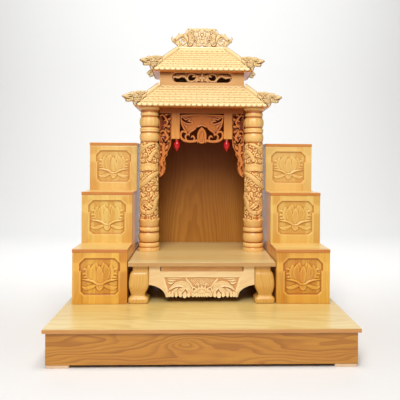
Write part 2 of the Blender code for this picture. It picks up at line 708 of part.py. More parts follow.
def build_fretwork():
    top = CANOPY_UNDERSIDE - GAP
    half = POST_INNER - GAP
    solid, cuts = valance_strokes()

    def valance_shape(x, z):
        drawn = x, z / VALANCE_SQUEEZE
        carved = np.minimum(stroke_union(*drawn, solid), -stroke_union(*drawn, cuts))
        return np.minimum(carved, np.minimum(half - np.abs(x), -z))

    loops = contour_loops(valance_shape, (-half, -0.118), (half, 0.0), 1.6 * MM, 0.7 * MM)
    add_plate("valance", loops, FRETWORK_THICKNESS, upright(y=COLUMN_Y, z=top), CARVED)
    width = COLUMN_X - BRACKET_CLEARANCE - POST_OUTER - GAP
    drops, set_backs = np.array(BRACKET_EDGE).T * MM
    holes = bracket_holes()

    def bracket_shape(x, z):
        plate = np.minimum(x - np.interp(-z, drops, set_backs), np.minimum(width - x, -z))
        return np.minimum(plate, -stroke_union(x, z, holes))

    loops = contour_loops(bracket_shape, (0.0, -0.238), (width, 0.0), 1.6 * MM, 0.7 * MM)
    for side_name, side in (("left", -1), ("right", 1)):
        placed = [[(side * (x + POST_OUTER + GAP), z) for x, z in loop] for loop in loops]
        add_plate(f"bracket_{side_name}", placed, FRETWORK_THICKNESS, upright(y=COLUMN_Y, z=top), CARVED)


LAMP_PROFILE = (  # distance below the post, radius (mm)
    (0.3, 5.6), (6.0, 6.2), (9.0, 6.6), (13.0, 9.6), (19.0, 11.8), (26.0, 12.0), (34.0, 9.6), (41.0, 4.6), (46.5, 1.0),
)
LAMP_X = 0.092
LAMP_SIDES = 8


def build_lamp(name, side):
    rings = []
    for drop, radius in reversed(LAMP_PROFILE):
        z = POST_FOOT - drop * MM
        ring = []
        for i in range(LAMP_SIDES):
            angle = 2 * math.pi * i / LAMP_SIDES
            ring.append((radius * MM * math.cos(angle), radius * MM * math.sin(angle), z))
        rings.append(ring)
    vertices, faces = stack_rings(rings)
    made = add_mesh(name, vertices, faces, RED)
    made.location = (side * LAMP_X, COLUMN_Y, 0.0)
    made.data.shade_smooth()


# ---------------------------------------------------------------- roofs
def hood_ring(half_x, front, back, z, cuts):
    """A rectangle at height z whose corners are cut by the chamfers in cuts: front pair first, then back pair."""
    front_cut, back_cut = cuts
    return [
        (-half_x + front_cut, front, z),
        (half_x - front_cut, front, z),
        (half_x, front + front_cut, z),
        (half_x, back - back_cut, z),
        (half_x - back_cut, back, z),
        (-half_x + back_cut, back, z),
        (-half_x, back - back_cut, z),
        (-half_x, front + front_cut, z),
    ]


def add_hood(name, outer, inner):
    """A hollow roof, open underneath: rings of the inner face from its ceiling down, then the outer face back up."""
    rings = [*reversed(inner), *outer]
    vertices, faces = stack_rings(rings)
    return add_mesh(name, vertices, faces, CARVED)


def build_lower_roof():
    add_box(
        "lower_eave_board",
        (-LOWER_ROOF_HALF_WIDTH + EAVE_INSET, LOWER_ROOF_HALF_WIDTH - EAVE_INSET),
        (LOWER_ROOF_FRONT + EAVE_INSET, BACK_WALL_OUTER),
        (EAVE_Z, EAVE_Z + LOWER_EAVE_THICKNESS),
        CARVED,
    )
    foot = EAVE_Z + LOWER_EAVE_THICKNESS + GAP
    back_cut = 0.002
    cuts = (HIP_CHAMFER, back_cut)
    outer = [
        hood_ring(LOWER_ROOF_HALF_WIDTH, LOWER_ROOF_FRONT, BACK_WALL_OUTER, foot, cuts),
        hood_ring(ATTIC_HALF_WIDTH, ATTIC_FRONT, BACK_WALL_OUTER, LOWER_ROOF_TOP, cuts),
    ]
    run = 1.45 * ROOF_WALL
    ceiling = LOWER_ROOF_TOP - ROOF_WALL
    inset_top = run - ROOF_WALL
    inner = [
        hood_ring(LOWER_ROOF_HALF_WIDTH - run, LOWER_ROOF_FRONT + run, BACK_WALL_OUTER - ROOF_WALL, foot, cuts),
        hood_ring(ATTIC_HALF_WIDTH - inset_top, ATTIC_FRONT + inset_top, BACK_WALL_OUTER - ROOF_WALL, ceiling, cuts),
    ]
    add_hood("lower_roof", outer, inner)


def build_attic():
    low, high = LOWER_ROOF_TOP + GAP, UPPER_EAVE_Z - GAP
    holes = attic_holes()

    def shape(across, up):
        board = box_depth(across, up, (-ATTIC_HALF_WIDTH, low), (ATTIC_HALF_WIDTH, high))
        return np.minimum(board, -stroke_union(across, up - WINDOW_MIDDLE, holes))

    loops = contour_loops(shape, (-ATTIC_HALF_WIDTH, low), (ATTIC_HALF_WIDTH, high), 1.5 * MM, 0.6 * MM)
    add_plate("attic_front", loops, ATTIC_BOARD, upright(y=ATTIC_FRONT + ATTIC_BOARD / 2), CARVED)
    near, far = ATTIC_FRONT + ATTIC_BOARD + GAP, ATTIC_BACK
    outer, inner = ATTIC_HALF_WIDTH, ATTIC_HALF_WIDTH - ATTIC_BOARD
    walls = [(-outer, near), (-inner, near), (-inner, far - ATTIC_BOARD), (inner, far - ATTIC_BOARD), (inner, near)]
    walls += [(outer, near), (outer, far), (-outer, far)]
    place = Matrix.Translation((0, 0, (low + high) / 2))
    add_plate("attic_walls", [walls], high - low, place, CARVED)


def attic_holes():
    """Holes sawn through the attic front, in metres from the middle of its window; scrolls are left between them."""
    half = [
        [(101, -6, 5.5), (96, -10, 7.0), (88, -11, 6.2)],
        [(88, -11.5, 6.0), (78, -8, 9.0), (70, -9, 8.5), (62, -13, 4.5), (57, -15.5, 2.0)],
        [(103, 10, 2.0), (95, 14, 2.6), (80, 15, 2.4), (66, 15, 2.0)],
        [(39, 8, 3.5), (45, 3, 6.0), (45, -2, 7.5), (38, -4, 7.0), (31, -3, 5.0), (26, 0, 3.0)],
        [(20, 13.5, 2.0), (14, 12.5, 4.0), (9, 15, 1.8)],
        [(16, -14.5, 1.6), (11, -14, 2.4), (8, -15, 1.4)],
    ]
    return scaled(mirrored(half), MM)


def build_upper_roof():
    add_box(
        "upper_eave_board",
        (-UPPER_ROOF_HALF_WIDTH + EAVE_INSET, UPPER_ROOF_HALF_WIDTH - EAVE_INSET),
        (UPPER_ROOF_FRONT + EAVE_INSET, UPPER_ROOF_BACK - EAVE_INSET),
        (UPPER_EAVE_Z, UPPER_EAVE_Z + UPPER_EAVE_THICKNESS),
        CARVED,
    )
    foot = UPPER_EAVE_Z + UPPER_EAVE_THICKNESS + GAP
    middle = (UPPER_ROOF_FRONT + UPPER_ROOF_BACK) / 2
    top_cut = HIP_CHAMFER_AT_RIDGE
    outer = [
        hood_ring(UPPER_ROOF_HALF_WIDTH, UPPER_ROOF_FRONT, UPPER_ROOF_BACK, foot, (HIP_CHAMFER, HIP_CHAMFER)),
        hood_ring(
            RIDGE_HALF_LENGTH,
            middle - RIDGE_HALF_FLAT,
            middle + RIDGE_HALF_FLAT,
            UPPER_ROOF_TOP,
            (top_cut, top_cut),
        ),
    ]
    run = 1.45 * ROOF_WALL
    ceiling = UPPER_ROOF_TOP - 1.6 * ROOF_WALL
    inner = [
        hood_ring(
            UPPER_ROOF_HALF_WIDTH - run,
            UPPER_ROOF_FRONT + run,
            UPPER_ROOF_BACK - run,
            foot,
            (HIP_CHAMFER, HIP_CHAMFER),
        ),
        hood_ring(RIDGE_HALF_LENGTH, middle - 0.006, middle + 0.006, ceiling, (top_cut, top_cut)),
    ]
    add_hood("upper_roof", outer, inner)


# ---------------------------------------------------------------- dragons on the hips and on the ridge
def hip_dragon_strokes(rib_length, slope):
    """A dragon's head at the eave and its body as a rib up the hip: t outward from the corner, z up (mm)."""

    def on_hip(t, lift):
        return t, -slope * t + lift

    far = -rib_length
    rib = [(*on_hip(far, 5.5), 9.5), (*on_hip(far * 0.7, 5.5), 9.5), (*on_hip(-50, 7.0), 10.0)]
    rib += [(-38, 38, 11.5), (-24, 34, 13.5), (-10, 31, 15.0), (4, 28, 15.0)]
    return [
        rib,
        [(4, 28, 15.0), (18, 26.5, 14.5), (30, 25, 11.5), (42, 24.5, 8.0), (49, 24.5, 5.2), (53, 24.5, 2.8)],
        [(16, 19, 10.0), (28, 15, 8.5), (36, 11.5, 5.5)],
        [(36, 19, 7.5), (45, 21.5, 5.0)],
        [(-24, 26, 10.0), (-10, 18, 10.0), (2, 14, 8.0), (4, 6, 4.5), (1, -2, 3.4)],
        [(4, 36, 8.0), (-6, 42, 6.0), (-16, 47, 4.5), (-24, 49, 2.4)],
        [(-14, 40, 8.0), (-26, 45, 6.5), (-37, 49, 4.0), (-46, 51, 2.0)],
        [(-26, 38, 9.0), (-38, 44, 6.5), (-50, 50, 4.0), (-58, 54, 1.6)],
        [(24, 34, 4.0), (17, 40, 3.4), (10, 43.5, 2.0)],
    ]


def build_hip_dragon(name, corner, rib_length, slope):
    """Cuts one hip board and stands it on the chamfered hip, in the upright plane through the corner's diagonal."""
    x, y, z = corner
    strokes = hip_dragon_strokes(rib_length, slope)
    lift = GAP / math.cos(math.atan(slope)) + HIP_CLEARANCE
    set_back = HIP_CHAMFER / math.sqrt(2)

    def shape(across, up):
        body = stroke_union(across / MM, up / MM, strokes) * MM
        seat = up + slope * (across + set_back) - lift
        free = np.where(across > -set_back, across + set_back + up, seat)
        limit = across + rib_length * MM
        return np.minimum.reduce([body, np.where(across < 0, seat, free), limit])

    low, high = (-rib_length * MM - 0.004, -0.010), (0.062, slope * rib_length * MM + 0.022)
    loops = contour_loops(shape, low, high, 1.6 * MM, 0.65 * MM)
    loops = [loop for loop in loops if abs(loop_area(loop)) > 20 * MM * MM]
    back = y > (UPPER_ROOF_FRONT + UPPER_ROOF_BACK) / 2
    turn = math.atan2(1.0 if back else -1.0, 1.0 if x > 0 else -1.0)
    add_plate(name, loops, HIP_THICKNESS, upright(x, y, z, turn), CARVED)


def build_hip_dragons():
    rise = LOWER_ROOF_TOP - (EAVE_Z + LOWER_EAVE_THICKNESS + GAP)
    run = (LOWER_ROOF_HALF_WIDTH - ATTIC_HALF_WIDTH) * math.sqrt(2)
    upper_foot = UPPER_EAVE_Z + UPPER_EAVE_THICKNESS + GAP
    upper_run = (UPPER_ROOF_HALF_WIDTH - RIDGE_HALF_LENGTH) * math.sqrt(2)
    hip_run = upper_run - (HIP_CHAMFER - HIP_CHAMFER_AT_RIDGE) / math.sqrt(2)
    upper_slope = (UPPER_ROOF_TOP - upper_foot) / hip_run
    for side_name, side in (("left", -1), ("right", 1)):
        corner = (side * LOWER_ROOF_HALF_WIDTH, LOWER_ROOF_FRONT, EAVE_Z + LOWER_EAVE_THICKNESS + GAP)
        length = (run - LOWER_RIB_SHORT) / MM
        build_hip_dragon(f"hip_dragon_lower_{side_name}", corner, length, rise / run)
        for depth_name, y in (("front", UPPER_ROOF_FRONT), ("back", UPPER_ROOF_BACK)):
            corner = (side * UPPER_ROOF_HALF_WIDTH, y, upper_foot)
            length = (upper_run - UPPER_RIB_SHORT) / MM
            build_hip_dragon(f"hip_dragon_upper_{depth_name}_{side_name}", corner, length, upper_slope)


def ridge_strokes():
    """Two dragons about a flaming pearl, in metres from the middle of the ridge board's top edge."""
    half = [
        [(112, 24, 6.5), (102, 22, 11.0), (94, 12, 8.5), (90, 2, 5.0)],
        [(100, 28, 7.0), (87, 41, 7.5), (73, 43, 7.5), (62, 36, 8.0), (53, 24, 9.0), (46, 10, 11.0)],
        [(46, 10, 11.0), (41, 26, 12.5), (43, 40, 12.5), (45, 52, 10.5), (46, 62, 7.0)],
        [(86, 36, 6.0), (91, 46, 3.2), (89, 52, 1.8)],
        [(112, 26, 4.5), (118, 33, 3.0), (116, 39, 1.8)],
        [(54, 50, 6.0), (60, 58, 3.4), (60, 65, 1.8)],
        [(54, 68, 3.4), (36, 68.5, 4.0), (18, 69, 4.0), (0, 69.5, 4.0)],
        [(40, 62, 7.0), (26, 66, 4.5), (10, 66, 4.5)],
        [(38, 48, 9.0), (27, 47, 7.0), (10, 47, 6.5)],
        [(38, 30, 9.0), (26, 26, 8.0), (13, 23, 8.0), (0, 20, 7.0)],
        [(42, 8, 9.0), (30, 3, 5.0), (22, -1, 3.0)],
        [(58, 6, 6.0), (68, 2, 3.4), (76, 0, 2.6)],
    ]
    middle = [
        [(0, 69, 6.0), (0, 58, 8.5), (0, 46, 11.0), (0, 34, 9.0), (0, 20, 7.0)],
    ]
    return scaled(mirrored(half) + middle, MM)


def build_ridge():
    strokes = ridge_strokes()
    half_length = RIDGE_HALF_LENGTH + RIDGE_BOARD_OVERHANG

    def shape(across, up):
        board = box_depth(across, up, (-half_length, -RIDGE_BOARD_HEIGHT), (half_length, 0.0015))
        return np.maximum(board, np.minimum(stroke_union(across, up, strokes), up + 0.001))

    loops = contour_loops(shape, (-0.125, -RIDGE_BOARD_HEIGHT), (0.125, 0.073), 1.6 * MM, 0.9 * MM)
    middle = (UPPER_ROOF_FRONT + UPPER_ROOF_BACK) / 2
    top = UPPER_ROOF_TOP + GAP + RIDGE_BOARD_HEIGHT
    add_plate("ridge_ornament", loops, RIDGE_THICKNESS, upright(y=middle, z=top), CARVED)


# ---------------------------------------------------------------- assembly
build_base()
build_steps("left", -1)
build_steps("right", 1)
build_table()
build_shelf()
build_shrine_body()
build_lower_roof()
build_attic()
build_upper_roof()
build_hip_dragons()
build_ridge()
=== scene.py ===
# %% [markdown]
# # A carved household altar in Blender
#
# This lesson finishes a household altar: a small shrine with two tiled roofs on a low table, between two stair-shaped
# side units, on a box base. Every joint and board already exists as a plain solid in the fixed frame. What is left is
# what makes it worth looking at: carving, tiles, turned columns and wood.
#
# First come numpy helpers that turn a grid of heights into a closed mesh. Then each piece is described by strokes or
# by a profile, carved, and given a wood that is mixed from nodes.

# %% Load the frame
import math

import bpy
import numpy as np
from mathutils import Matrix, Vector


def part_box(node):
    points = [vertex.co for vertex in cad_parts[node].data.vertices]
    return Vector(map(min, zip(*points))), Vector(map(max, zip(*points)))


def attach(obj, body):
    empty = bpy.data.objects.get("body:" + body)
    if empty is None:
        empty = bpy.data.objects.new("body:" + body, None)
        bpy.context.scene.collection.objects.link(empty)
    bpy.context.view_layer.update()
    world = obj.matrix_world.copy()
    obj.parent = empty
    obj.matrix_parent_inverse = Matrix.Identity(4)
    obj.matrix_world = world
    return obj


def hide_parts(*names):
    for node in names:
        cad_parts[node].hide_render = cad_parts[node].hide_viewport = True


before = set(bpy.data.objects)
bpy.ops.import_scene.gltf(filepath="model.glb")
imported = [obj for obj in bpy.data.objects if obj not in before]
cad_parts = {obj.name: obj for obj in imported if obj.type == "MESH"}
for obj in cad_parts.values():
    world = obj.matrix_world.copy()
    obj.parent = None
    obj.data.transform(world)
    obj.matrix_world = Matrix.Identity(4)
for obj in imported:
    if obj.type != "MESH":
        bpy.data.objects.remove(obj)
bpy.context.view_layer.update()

MM = 0.001
SIDES = (("left", -1), ("right", 1))


def corners_of(node, unit=1.0):
    """Lowest and highest corner of a plain solid as a (2, 3) array, in metres or in another unit."""
    return np.array(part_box(node), float) / unit


# %% [markdown]
# ## From arrays to a mesh
#
# A carved board has tens of thousands of small faces, so its mesh is worked out as arrays and handed over at once.
# `add_piece` does that and keeps edges sharper than an angle sharp. `finish_piece` gives the piece its wood and
# carving attribute, hangs it under an empty for the body it rides on, and hides the plain solids it stands for.

# %% Put a mesh into the scene
totals = {"triangles": 0}


def finish_piece(name, mesh, material, shade, stands_for, body="cabinet"):
    """Gives a mesh its wood and carving attribute, makes it an object, hangs it under its body's empty and hides the
    plain solids it stands for.
    """
    values = (np.zeros(len(mesh.vertices)) + shade).astype(np.float32)
    mesh.attributes.new("carving", "FLOAT", "POINT").data.foreach_set("value", values)
    mesh.materials.append(material)
    piece = bpy.data.objects.new(name, mesh)
    bpy.context.scene.collection.objects.link(piece)
    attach(piece, body)
    if stands_for:
        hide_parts(*stands_for)
    return piece


def add_piece(name, points, quads, tris, material, stands_for=(), body="cabinet", angle=38.0, shade=0.5):
    """Makes one object from points (n, 3), quads (m, 4) and tris (k, 3). Shade is a 0 to 1 value per point."""
    points = np.asarray(points, np.float32)
    quads = np.asarray(quads, np.int32).reshape(-1, 4)
    tris = np.asarray(tris, np.int32).reshape(-1, 3)
    mesh = bpy.data.meshes.new(name)
    mesh.vertices.add(len(points))
    mesh.vertices.foreach_set("co", points.ravel())
    turns = np.concatenate([quads.ravel(), tris.ravel()])
    mesh.loops.add(len(turns))
    mesh.loops.foreach_set("vertex_index", turns)
    starts = np.concatenate([np.arange(len(quads)) * 4, len(quads) * 4 + np.arange(len(tris)) * 3])
    mesh.polygons.add(len(starts))
    mesh.polygons.foreach_set("loop_start", starts.astype(np.int32))
    mesh.update(calc_edges=True)
    mesh.validate()
    mesh.shade_smooth()
    mesh.set_sharp_from_angle(angle=math.radians(angle))
    totals["triangles"] += 2 * len(quads) + len(tris)
    return finish_piece(name, mesh, material, shade, stands_for, body)


def grid_quads(rows, columns, wrap=False):
    """Quads of a rows by columns grid of points, from the first axis to the second. Wrap joins the rows' ends."""
    i = np.arange(rows - 1)[:, None]
    j = np.arange(columns if wrap else columns - 1)[None, :]
    k = (j + 1) % columns
    corners = [i * columns + j, (i + 1) * columns + j, (i + 1) * columns + k, i * columns + k]
    return np.stack(np.broadcast_arrays(*corners), -1).reshape(-1, 4)


def weld(points, faces):
    """Merges points that share a place. Returns the points left and the faces renumbered."""
    _, first, place = np.unique(np.round(points / 1e-7), axis=0, return_index=True, return_inverse=True)
    return points[first], place.ravel()[faces]


print("a 3 by 3 grid has", len(grid_quads(3, 3)), "quads")

# %% [markdown]
# ## Boards with eased edges
#
# No sawn board has a knife edge: a joiner takes about a millimetre off, and that thin round edge catches a line of
# light. A Bevel modifier would do it, but there is a neat formula: clamp a point of the box into a smaller box, and
# step from there towards the point by the rounding radius. Flat faces stay flat and all edges and corners turn round.

# %% A rounded board
def rounded_board(low, high, ease=0.8 * MM):
    """Points and quads of a box whose edges have radius ease: clamp to the inner box, then step out by ease."""
    centre, half = (low + high) / 2, (high - low) / 2
    ease = min(ease, 0.45 * half.min())
    steps = np.array([0.0, 0.35, 1.0, 1.5]) * ease
    lines = [np.concatenate([steps - h, (h - steps)[::-1]]) for h in half]
    points, faces = [], []
    for axis in range(3):
        u_axis, v_axis = (axis + 1) % 3, (axis + 2) % 3
        u, v = np.meshgrid(lines[u_axis], lines[v_axis], indexing="ij")
        for side in (-1.0, 1.0):
            face = np.zeros((*u.shape, 3))
            face[..., axis], face[..., u_axis], face[..., v_axis] = side * half[axis], u, v
            quads = grid_quads(*u.shape) + 64 * len(points)
            faces.append(quads if side > 0 else quads[:, ::-1])
            points.append(face.reshape(-1, 3))
    points = np.concatenate(points)
    inner = np.clip(points, ease - half, half - ease)
    away = points - inner
    points = inner + ease * away / np.linalg.norm(away, axis=1, keepdims=True)
    points, faces = weld(points, np.concatenate(faces))
    return points + centre, faces


def add_board(node, material, body="cabinet", ease=0.8 * MM, painted_top_shade=0.0, inward=(0, 0)):
    """Stands a rounded board in place of a plain one. The last two arguments paint a shade that deepens towards the top
    of the inward side.
    """
    points, quads = rounded_board(*corners_of(node), ease)
    height = (points[:, 2] - points[:, 2].min()) / np.ptp(points[:, 2])
    # painted shade, darker towards the top, only on the side that faces inward
    shaded_side = (points[:, :2] - points[:, :2].mean(0)) @ np.array(inward) > 0
    return add_piece(node + "_wood", points, quads, [], material, (node,), body, shade=0.5 - painted_top_shade * height * shaded_side)


sample_points, sample_quads = rounded_board(np.zeros(3), np.ones(3), 0.1)
print("one rounded board:", len(sample_points), "points,", len(sample_quads), "quads")

# %% [markdown]
# ## Wood from nodes
#
# All of this altar is pine and pale carved timber, so one set of effects serves every material. A node group works
# like a function: its sockets are its arguments. Each material gives the five groups its own numbers.
#
# - `figure` draws growth rings cut lengthwise, the arches and flames that a saw leaves in a flat board.
# - `planks` splits a board into glued strips, each with a random tone, as edge-glued pine has.
# - `fibre` is the fine streaky grain that breaks up gloss and gives the bump.
# - `relief` finds hollows and ridges for painted shade and painted highlights; `board edge` finds sawn edges,
#   which take the finish differently.

# %% Node helpers
def add_node(tree, kind, inputs=None, **settings):
    """Adds one node. Inputs maps a socket's name or number to a value or to another node's output."""
    made = tree.nodes.new(kind)
    for key, value in settings.items():
        setattr(made, key, value)
    for key, value in (inputs or {}).items():
        if isinstance(value, bpy.types.NodeSocket):
            tree.links.new(value, made.inputs[key])
        else:
            made.inputs[key].default_value = value
    return made


def calc(tree, operation, first, second=None, third=None, clamp=False):
    """One Math node. Returns its output socket."""
    values = {i: v for i, v in enumerate((first, second, third)) if v is not None}
    return add_node(tree, "ShaderNodeMath", values, operation=operation, use_clamp=clamp).outputs[0]


def scaled(tree, value, factor, plus=None, clamp=False):
    """Value times factor, plus a third value if one is given."""
    return calc(tree, "MULTIPLY" if plus is None else "MULTIPLY_ADD", value, factor, plus, clamp)


def mix_colour(tree, share, first, second):
    """One colour Mix node. Returns its output socket."""
    first, second = (v if isinstance(v, bpy.types.NodeSocket) else (*v, 1.0) for v in (first, second))
    return add_node(tree, "ShaderNodeMix", {0: share, 6: first, 7: second}, data_type="RGBA").outputs[2]


def combine(tree, x, y, z=0.0):
    """A vector from three values."""
    return add_node(tree, "ShaderNodeCombineXYZ", {0: x, 1: y, 2: z}).outputs[0]


def chance(tree, number):
    """White noise of a number: the same random value wherever the number is the same."""
    return add_node(tree, "ShaderNodeTexWhiteNoise", {"W": number}, noise_dimensions="1D").outputs[0]


def smooth_range(tree, value, low, high):
    """A Map Range node that eases from 0 at low to 1 at high."""
    inputs = {"Value": value, "From Min": low, "From Max": high}
    return add_node(tree, "ShaderNodeMapRange", inputs, interpolation_type="SMOOTHSTEP").outputs[0]


def new_group(name, inputs, outputs):
    """An empty shader node group with float sockets: (tree, the inputs' sockets, the outputs' sockets)."""
    tree = bpy.data.node_groups.new(name, "ShaderNodeTree")
    for label, value in inputs.items():
        socket = tree.interface.new_socket(name=label, in_out="INPUT", socket_type="NodeSocketFloat")
        socket.default_value = value
    for label in outputs:
        tree.interface.new_socket(name=label, in_out="OUTPUT", socket_type="NodeSocketFloat")
    return tree, tree.nodes.new("NodeGroupInput").outputs, tree.nodes.new("NodeGroupOutput").inputs


def give_out(tree, give, values):
    """Links a group's results to its output sockets by name. Returns the group."""
    for label, value in values.items():
        tree.links.new(value, give[label])
    return tree


def place_group(tree, group, inputs=None):
    """Places a node group in a material. Returns its outputs."""
    return add_node(tree, "ShaderNodeGroup", inputs, node_tree=group).outputs


def noise(tree, vector, scale, detail, roughness=0.5):
    """A Noise Texture node's value."""
    inputs = {"Vector": vector, "Scale": scale, "Detail": detail, "Roughness": roughness}
    return add_node(tree, "ShaderNodeTexNoise", inputs).outputs[0]


print("node helpers ready")

# %% [markdown]
# ### Growth rings
#
# A log is a stack of cones, one inside the other. A plank cut beside the heart meets each ring twice, and the
# two cuts join in an arch. So the ring count at a point is a parabola across the board plus a slow climb along
# it, made uneven by soft noise. The fraction of that count is the place within one ring: pale early wood first,
# then a darker late line with a sharp outer edge.

# %% The figure group
def build_figure():
    """Ring count = density * (arch * across^2 + climb * along + 0.8 * depth + wobble * noise + knot's bump)."""
    inputs = {"Along": 0.0, "Across": 0.0, "Depth": 0.0, "Density": 60.0, "Arch": 3.0, "Climb": 0.15}
    inputs |= {"Wobble": 0.05, "Seed": 0.0, "Knot along": 9.0, "Knot across": 0.0}
    tree, take, give = new_group("figure", inputs, ["Late wood", "Ring tone"])
    stretched = combine(tree, scaled(tree, take["Along"], 1.6), scaled(tree, take["Across"], 7.0), take["Seed"])
    drift = calc(tree, "SUBTRACT", noise(tree, stretched, 2.2, 2.0), 0.5)
    bend = scaled(tree, scaled(tree, take["Across"], take["Across"]), take["Arch"])
    climb = scaled(tree, take["Along"], take["Climb"], bend)
    climb = scaled(tree, take["Depth"], 0.8, climb)
    beside = scaled(tree, calc(tree, "SUBTRACT", take["Across"], take["Knot across"]), 3.2)
    from_knot = calc(tree, "SUBTRACT", take["Along"], take["Knot along"])
    reach = add_node(tree, "ShaderNodeVectorMath", {0: combine(tree, from_knot, beside)}, operation="LENGTH")
    climb = scaled(tree, calc(tree, "POWER", 0.0001, reach.outputs["Value"]), 0.09, climb)
    count = scaled(tree, drift, take["Wobble"], climb)
    count = scaled(tree, count, take["Density"], take["Seed"])
    place = calc(tree, "FRACT", count)
    late = calc(tree, "SUBTRACT", smooth_range(tree, place, 0.25, 0.86), smooth_range(tree, place, 0.9, 1.0))
    return give_out(tree, give, {"Late wood": late, "Ring tone": chance(tree, calc(tree, "FLOOR", count))})


figure_group = build_figure()
print("figure group:", len(figure_group.nodes), "nodes")

# %% [markdown]
# ### Strips and fibres
#
# Edge-glued pine comes in strips a few centimetres wide. A strip's number is the coordinate across the grain divided
# by the strip's width, rounded down. White noise of it gives the strip its own tone and shifts its grain, so that no
# ring runs on into the next strip. Fibres are noise stretched along the grain.

# %% The planks and fibre groups
def build_planks():
    """Strip number = floor(across / width). Tone = noise(number). Seam = a thin line at each strip's edge."""
    tree, take, give = new_group("planks", {"Across": 0.0, "Width": 0.03, "Seed": 0.0}, ["Tone", "Hue", "Seam"])
    share = calc(tree, "ADD", calc(tree, "DIVIDE", take["Across"], take["Width"]), take["Seed"])
    number = calc(tree, "FLOOR", share)
    edge = calc(tree, "ABSOLUTE", calc(tree, "SUBTRACT", calc(tree, "FRACT", share), 0.5))
    return give_out(tree, give, {
        "Tone": chance(tree, number), "Hue": chance(tree, calc(tree, "ADD", number, 71.3)),
        "Seam": smooth_range(tree, edge, 0.47, 0.5)})


def build_fibre():
    """Noise on coordinates squeezed up to twentyfold along the grain: fine for bump, coarse for streaks and clouds."""
    tree, take, give = new_group("fibre", {"Along": 0.0, "Across": 0.0, "Depth": 0.0}, ["Fine", "Streak", "Cloud"])

    def squeezed(along):
        """Coordinates whose length along the grain is multiplied by a small factor."""
        return combine(tree, scaled(tree, take["Along"], along), take["Across"], take["Depth"])

    return give_out(tree, give, {
        "Fine": noise(tree, squeezed(0.05), 900.0, 2.0, 0.6), "Streak": noise(tree, squeezed(0.06), 160.0, 4.0, 0.6),
        "Cloud": noise(tree, squeezed(0.3), 14.0, 2.0)})


def build_relief():
    """Reads the carving attribute: Cut is 1 in deep hollows, for painted shade, Ridge is 1 on high edges, for a painted
    highlight.
    """
    tree, take, give = new_group("relief", {"Cut start": 0.5, "Cut full": 0.08}, ["Cut", "Ridge"])
    carving = add_node(tree, "ShaderNodeAttribute", attribute_name="carving").outputs["Fac"]
    return give_out(tree, give, {"Cut": smooth_range(tree, carving, take["Cut start"], take["Cut full"]),
                                 "Ridge": smooth_range(tree, carving, 0.52, 0.95)})


def build_edge():
    """Edge is 1 where a lying board's face turns away from straight up or down."""
    tree, _, give = new_group("board edge", {}, ["Edge"])
    facing = add_node(tree, "ShaderNodeNewGeometry").outputs["True Normal"]
    upward = calc(tree, "ABSOLUTE", add_node(tree, "ShaderNodeSeparateXYZ", {0: facing}).outputs[2])
    return give_out(tree, give, {"Edge": smooth_range(tree, upward, 0.9, 0.6)})


planks_group, fibre_group, relief_group, edge_group = build_planks(), build_fibre(), build_relief(), build_edge()
print("groups:", [group.name for group in bpy.data.node_groups])

# %% [markdown]
# ### One recipe for every wood
#
# A finish mixes the groups: pale and deep tones, a late-wood line, strip tones, streaks, and for carved work the
# `carving` attribute, low in the cuts and high on the ridges. Cuts are painted darker and warmer, which stands for
# their shade and some pooled lacquer and dust, and ridges get a painted highlight. The lacquer is a clear coat over a
# slightly rough wood.

# %% The wood recipe
def grain_axes(tree, along):
    """Object coordinates as (along, across, depth) for grain that runs along X, Y or Z."""
    where = add_node(tree, "ShaderNodeTexCoord").outputs["Object"]
    parts = add_node(tree, "ShaderNodeSeparateXYZ", {0: where}).outputs
    rest = [parts[i] for i in range(3) if "XYZ"[i] != along]
    return parts["XYZ".index(along)], calc(tree, "ADD", *rest), calc(tree, "SUBTRACT", *rest)


def srgb(red, green, blue):
    """Linear colour from display values between 0 and 255: the usual 2.4 power curve with its straight foot."""
    parts = np.array([red, green, blue]) / 255.0
    return tuple(float(v) for v in np.where(parts <= 0.04045, parts / 12.92, ((parts + 0.055) / 1.055) ** 2.4))


def new_material(name):
    """A material with nodes: (material, its tree, its shader)."""
    material = bpy.data.materials.new(name)
    material.use_nodes = True
    return material, material.node_tree, material.node_tree.nodes["Principled BSDF"]


def shade_highlight_and_edge_colour(tree, colour, pale, streak, cuts, cut_share, edge):
    """Paints shade (and some pooled lacquer) into hollows towards cuts, a highlight on ridges, and tints sawn edges."""
    if cuts:
        relief = place_group(tree, relief_group)
        # painted shade in the hollows, partly pooled lacquer and dust
        colour = mix_colour(tree, scaled(tree, relief["Cut"], cut_share), colour, srgb(*cuts))
        # painted highlight on the ridges
        lighter = tuple(min(1.0, 1.12 * v + 0.02) for v in pale)
        colour = mix_colour(tree, scaled(tree, relief["Ridge"], 0.55), colour, lighter)
    if edge:
        sawn = scaled(tree, streak, 0.5, 0.62, clamp=True)
        sawn = scaled(tree, place_group(tree, edge_group)[0], sawn)
        colour = mix_colour(tree, sawn, colour, srgb(*edge))
    return colour


print("pine yellow in linear light:", [round(v, 2) for v in srgb(240, 200, 130)])

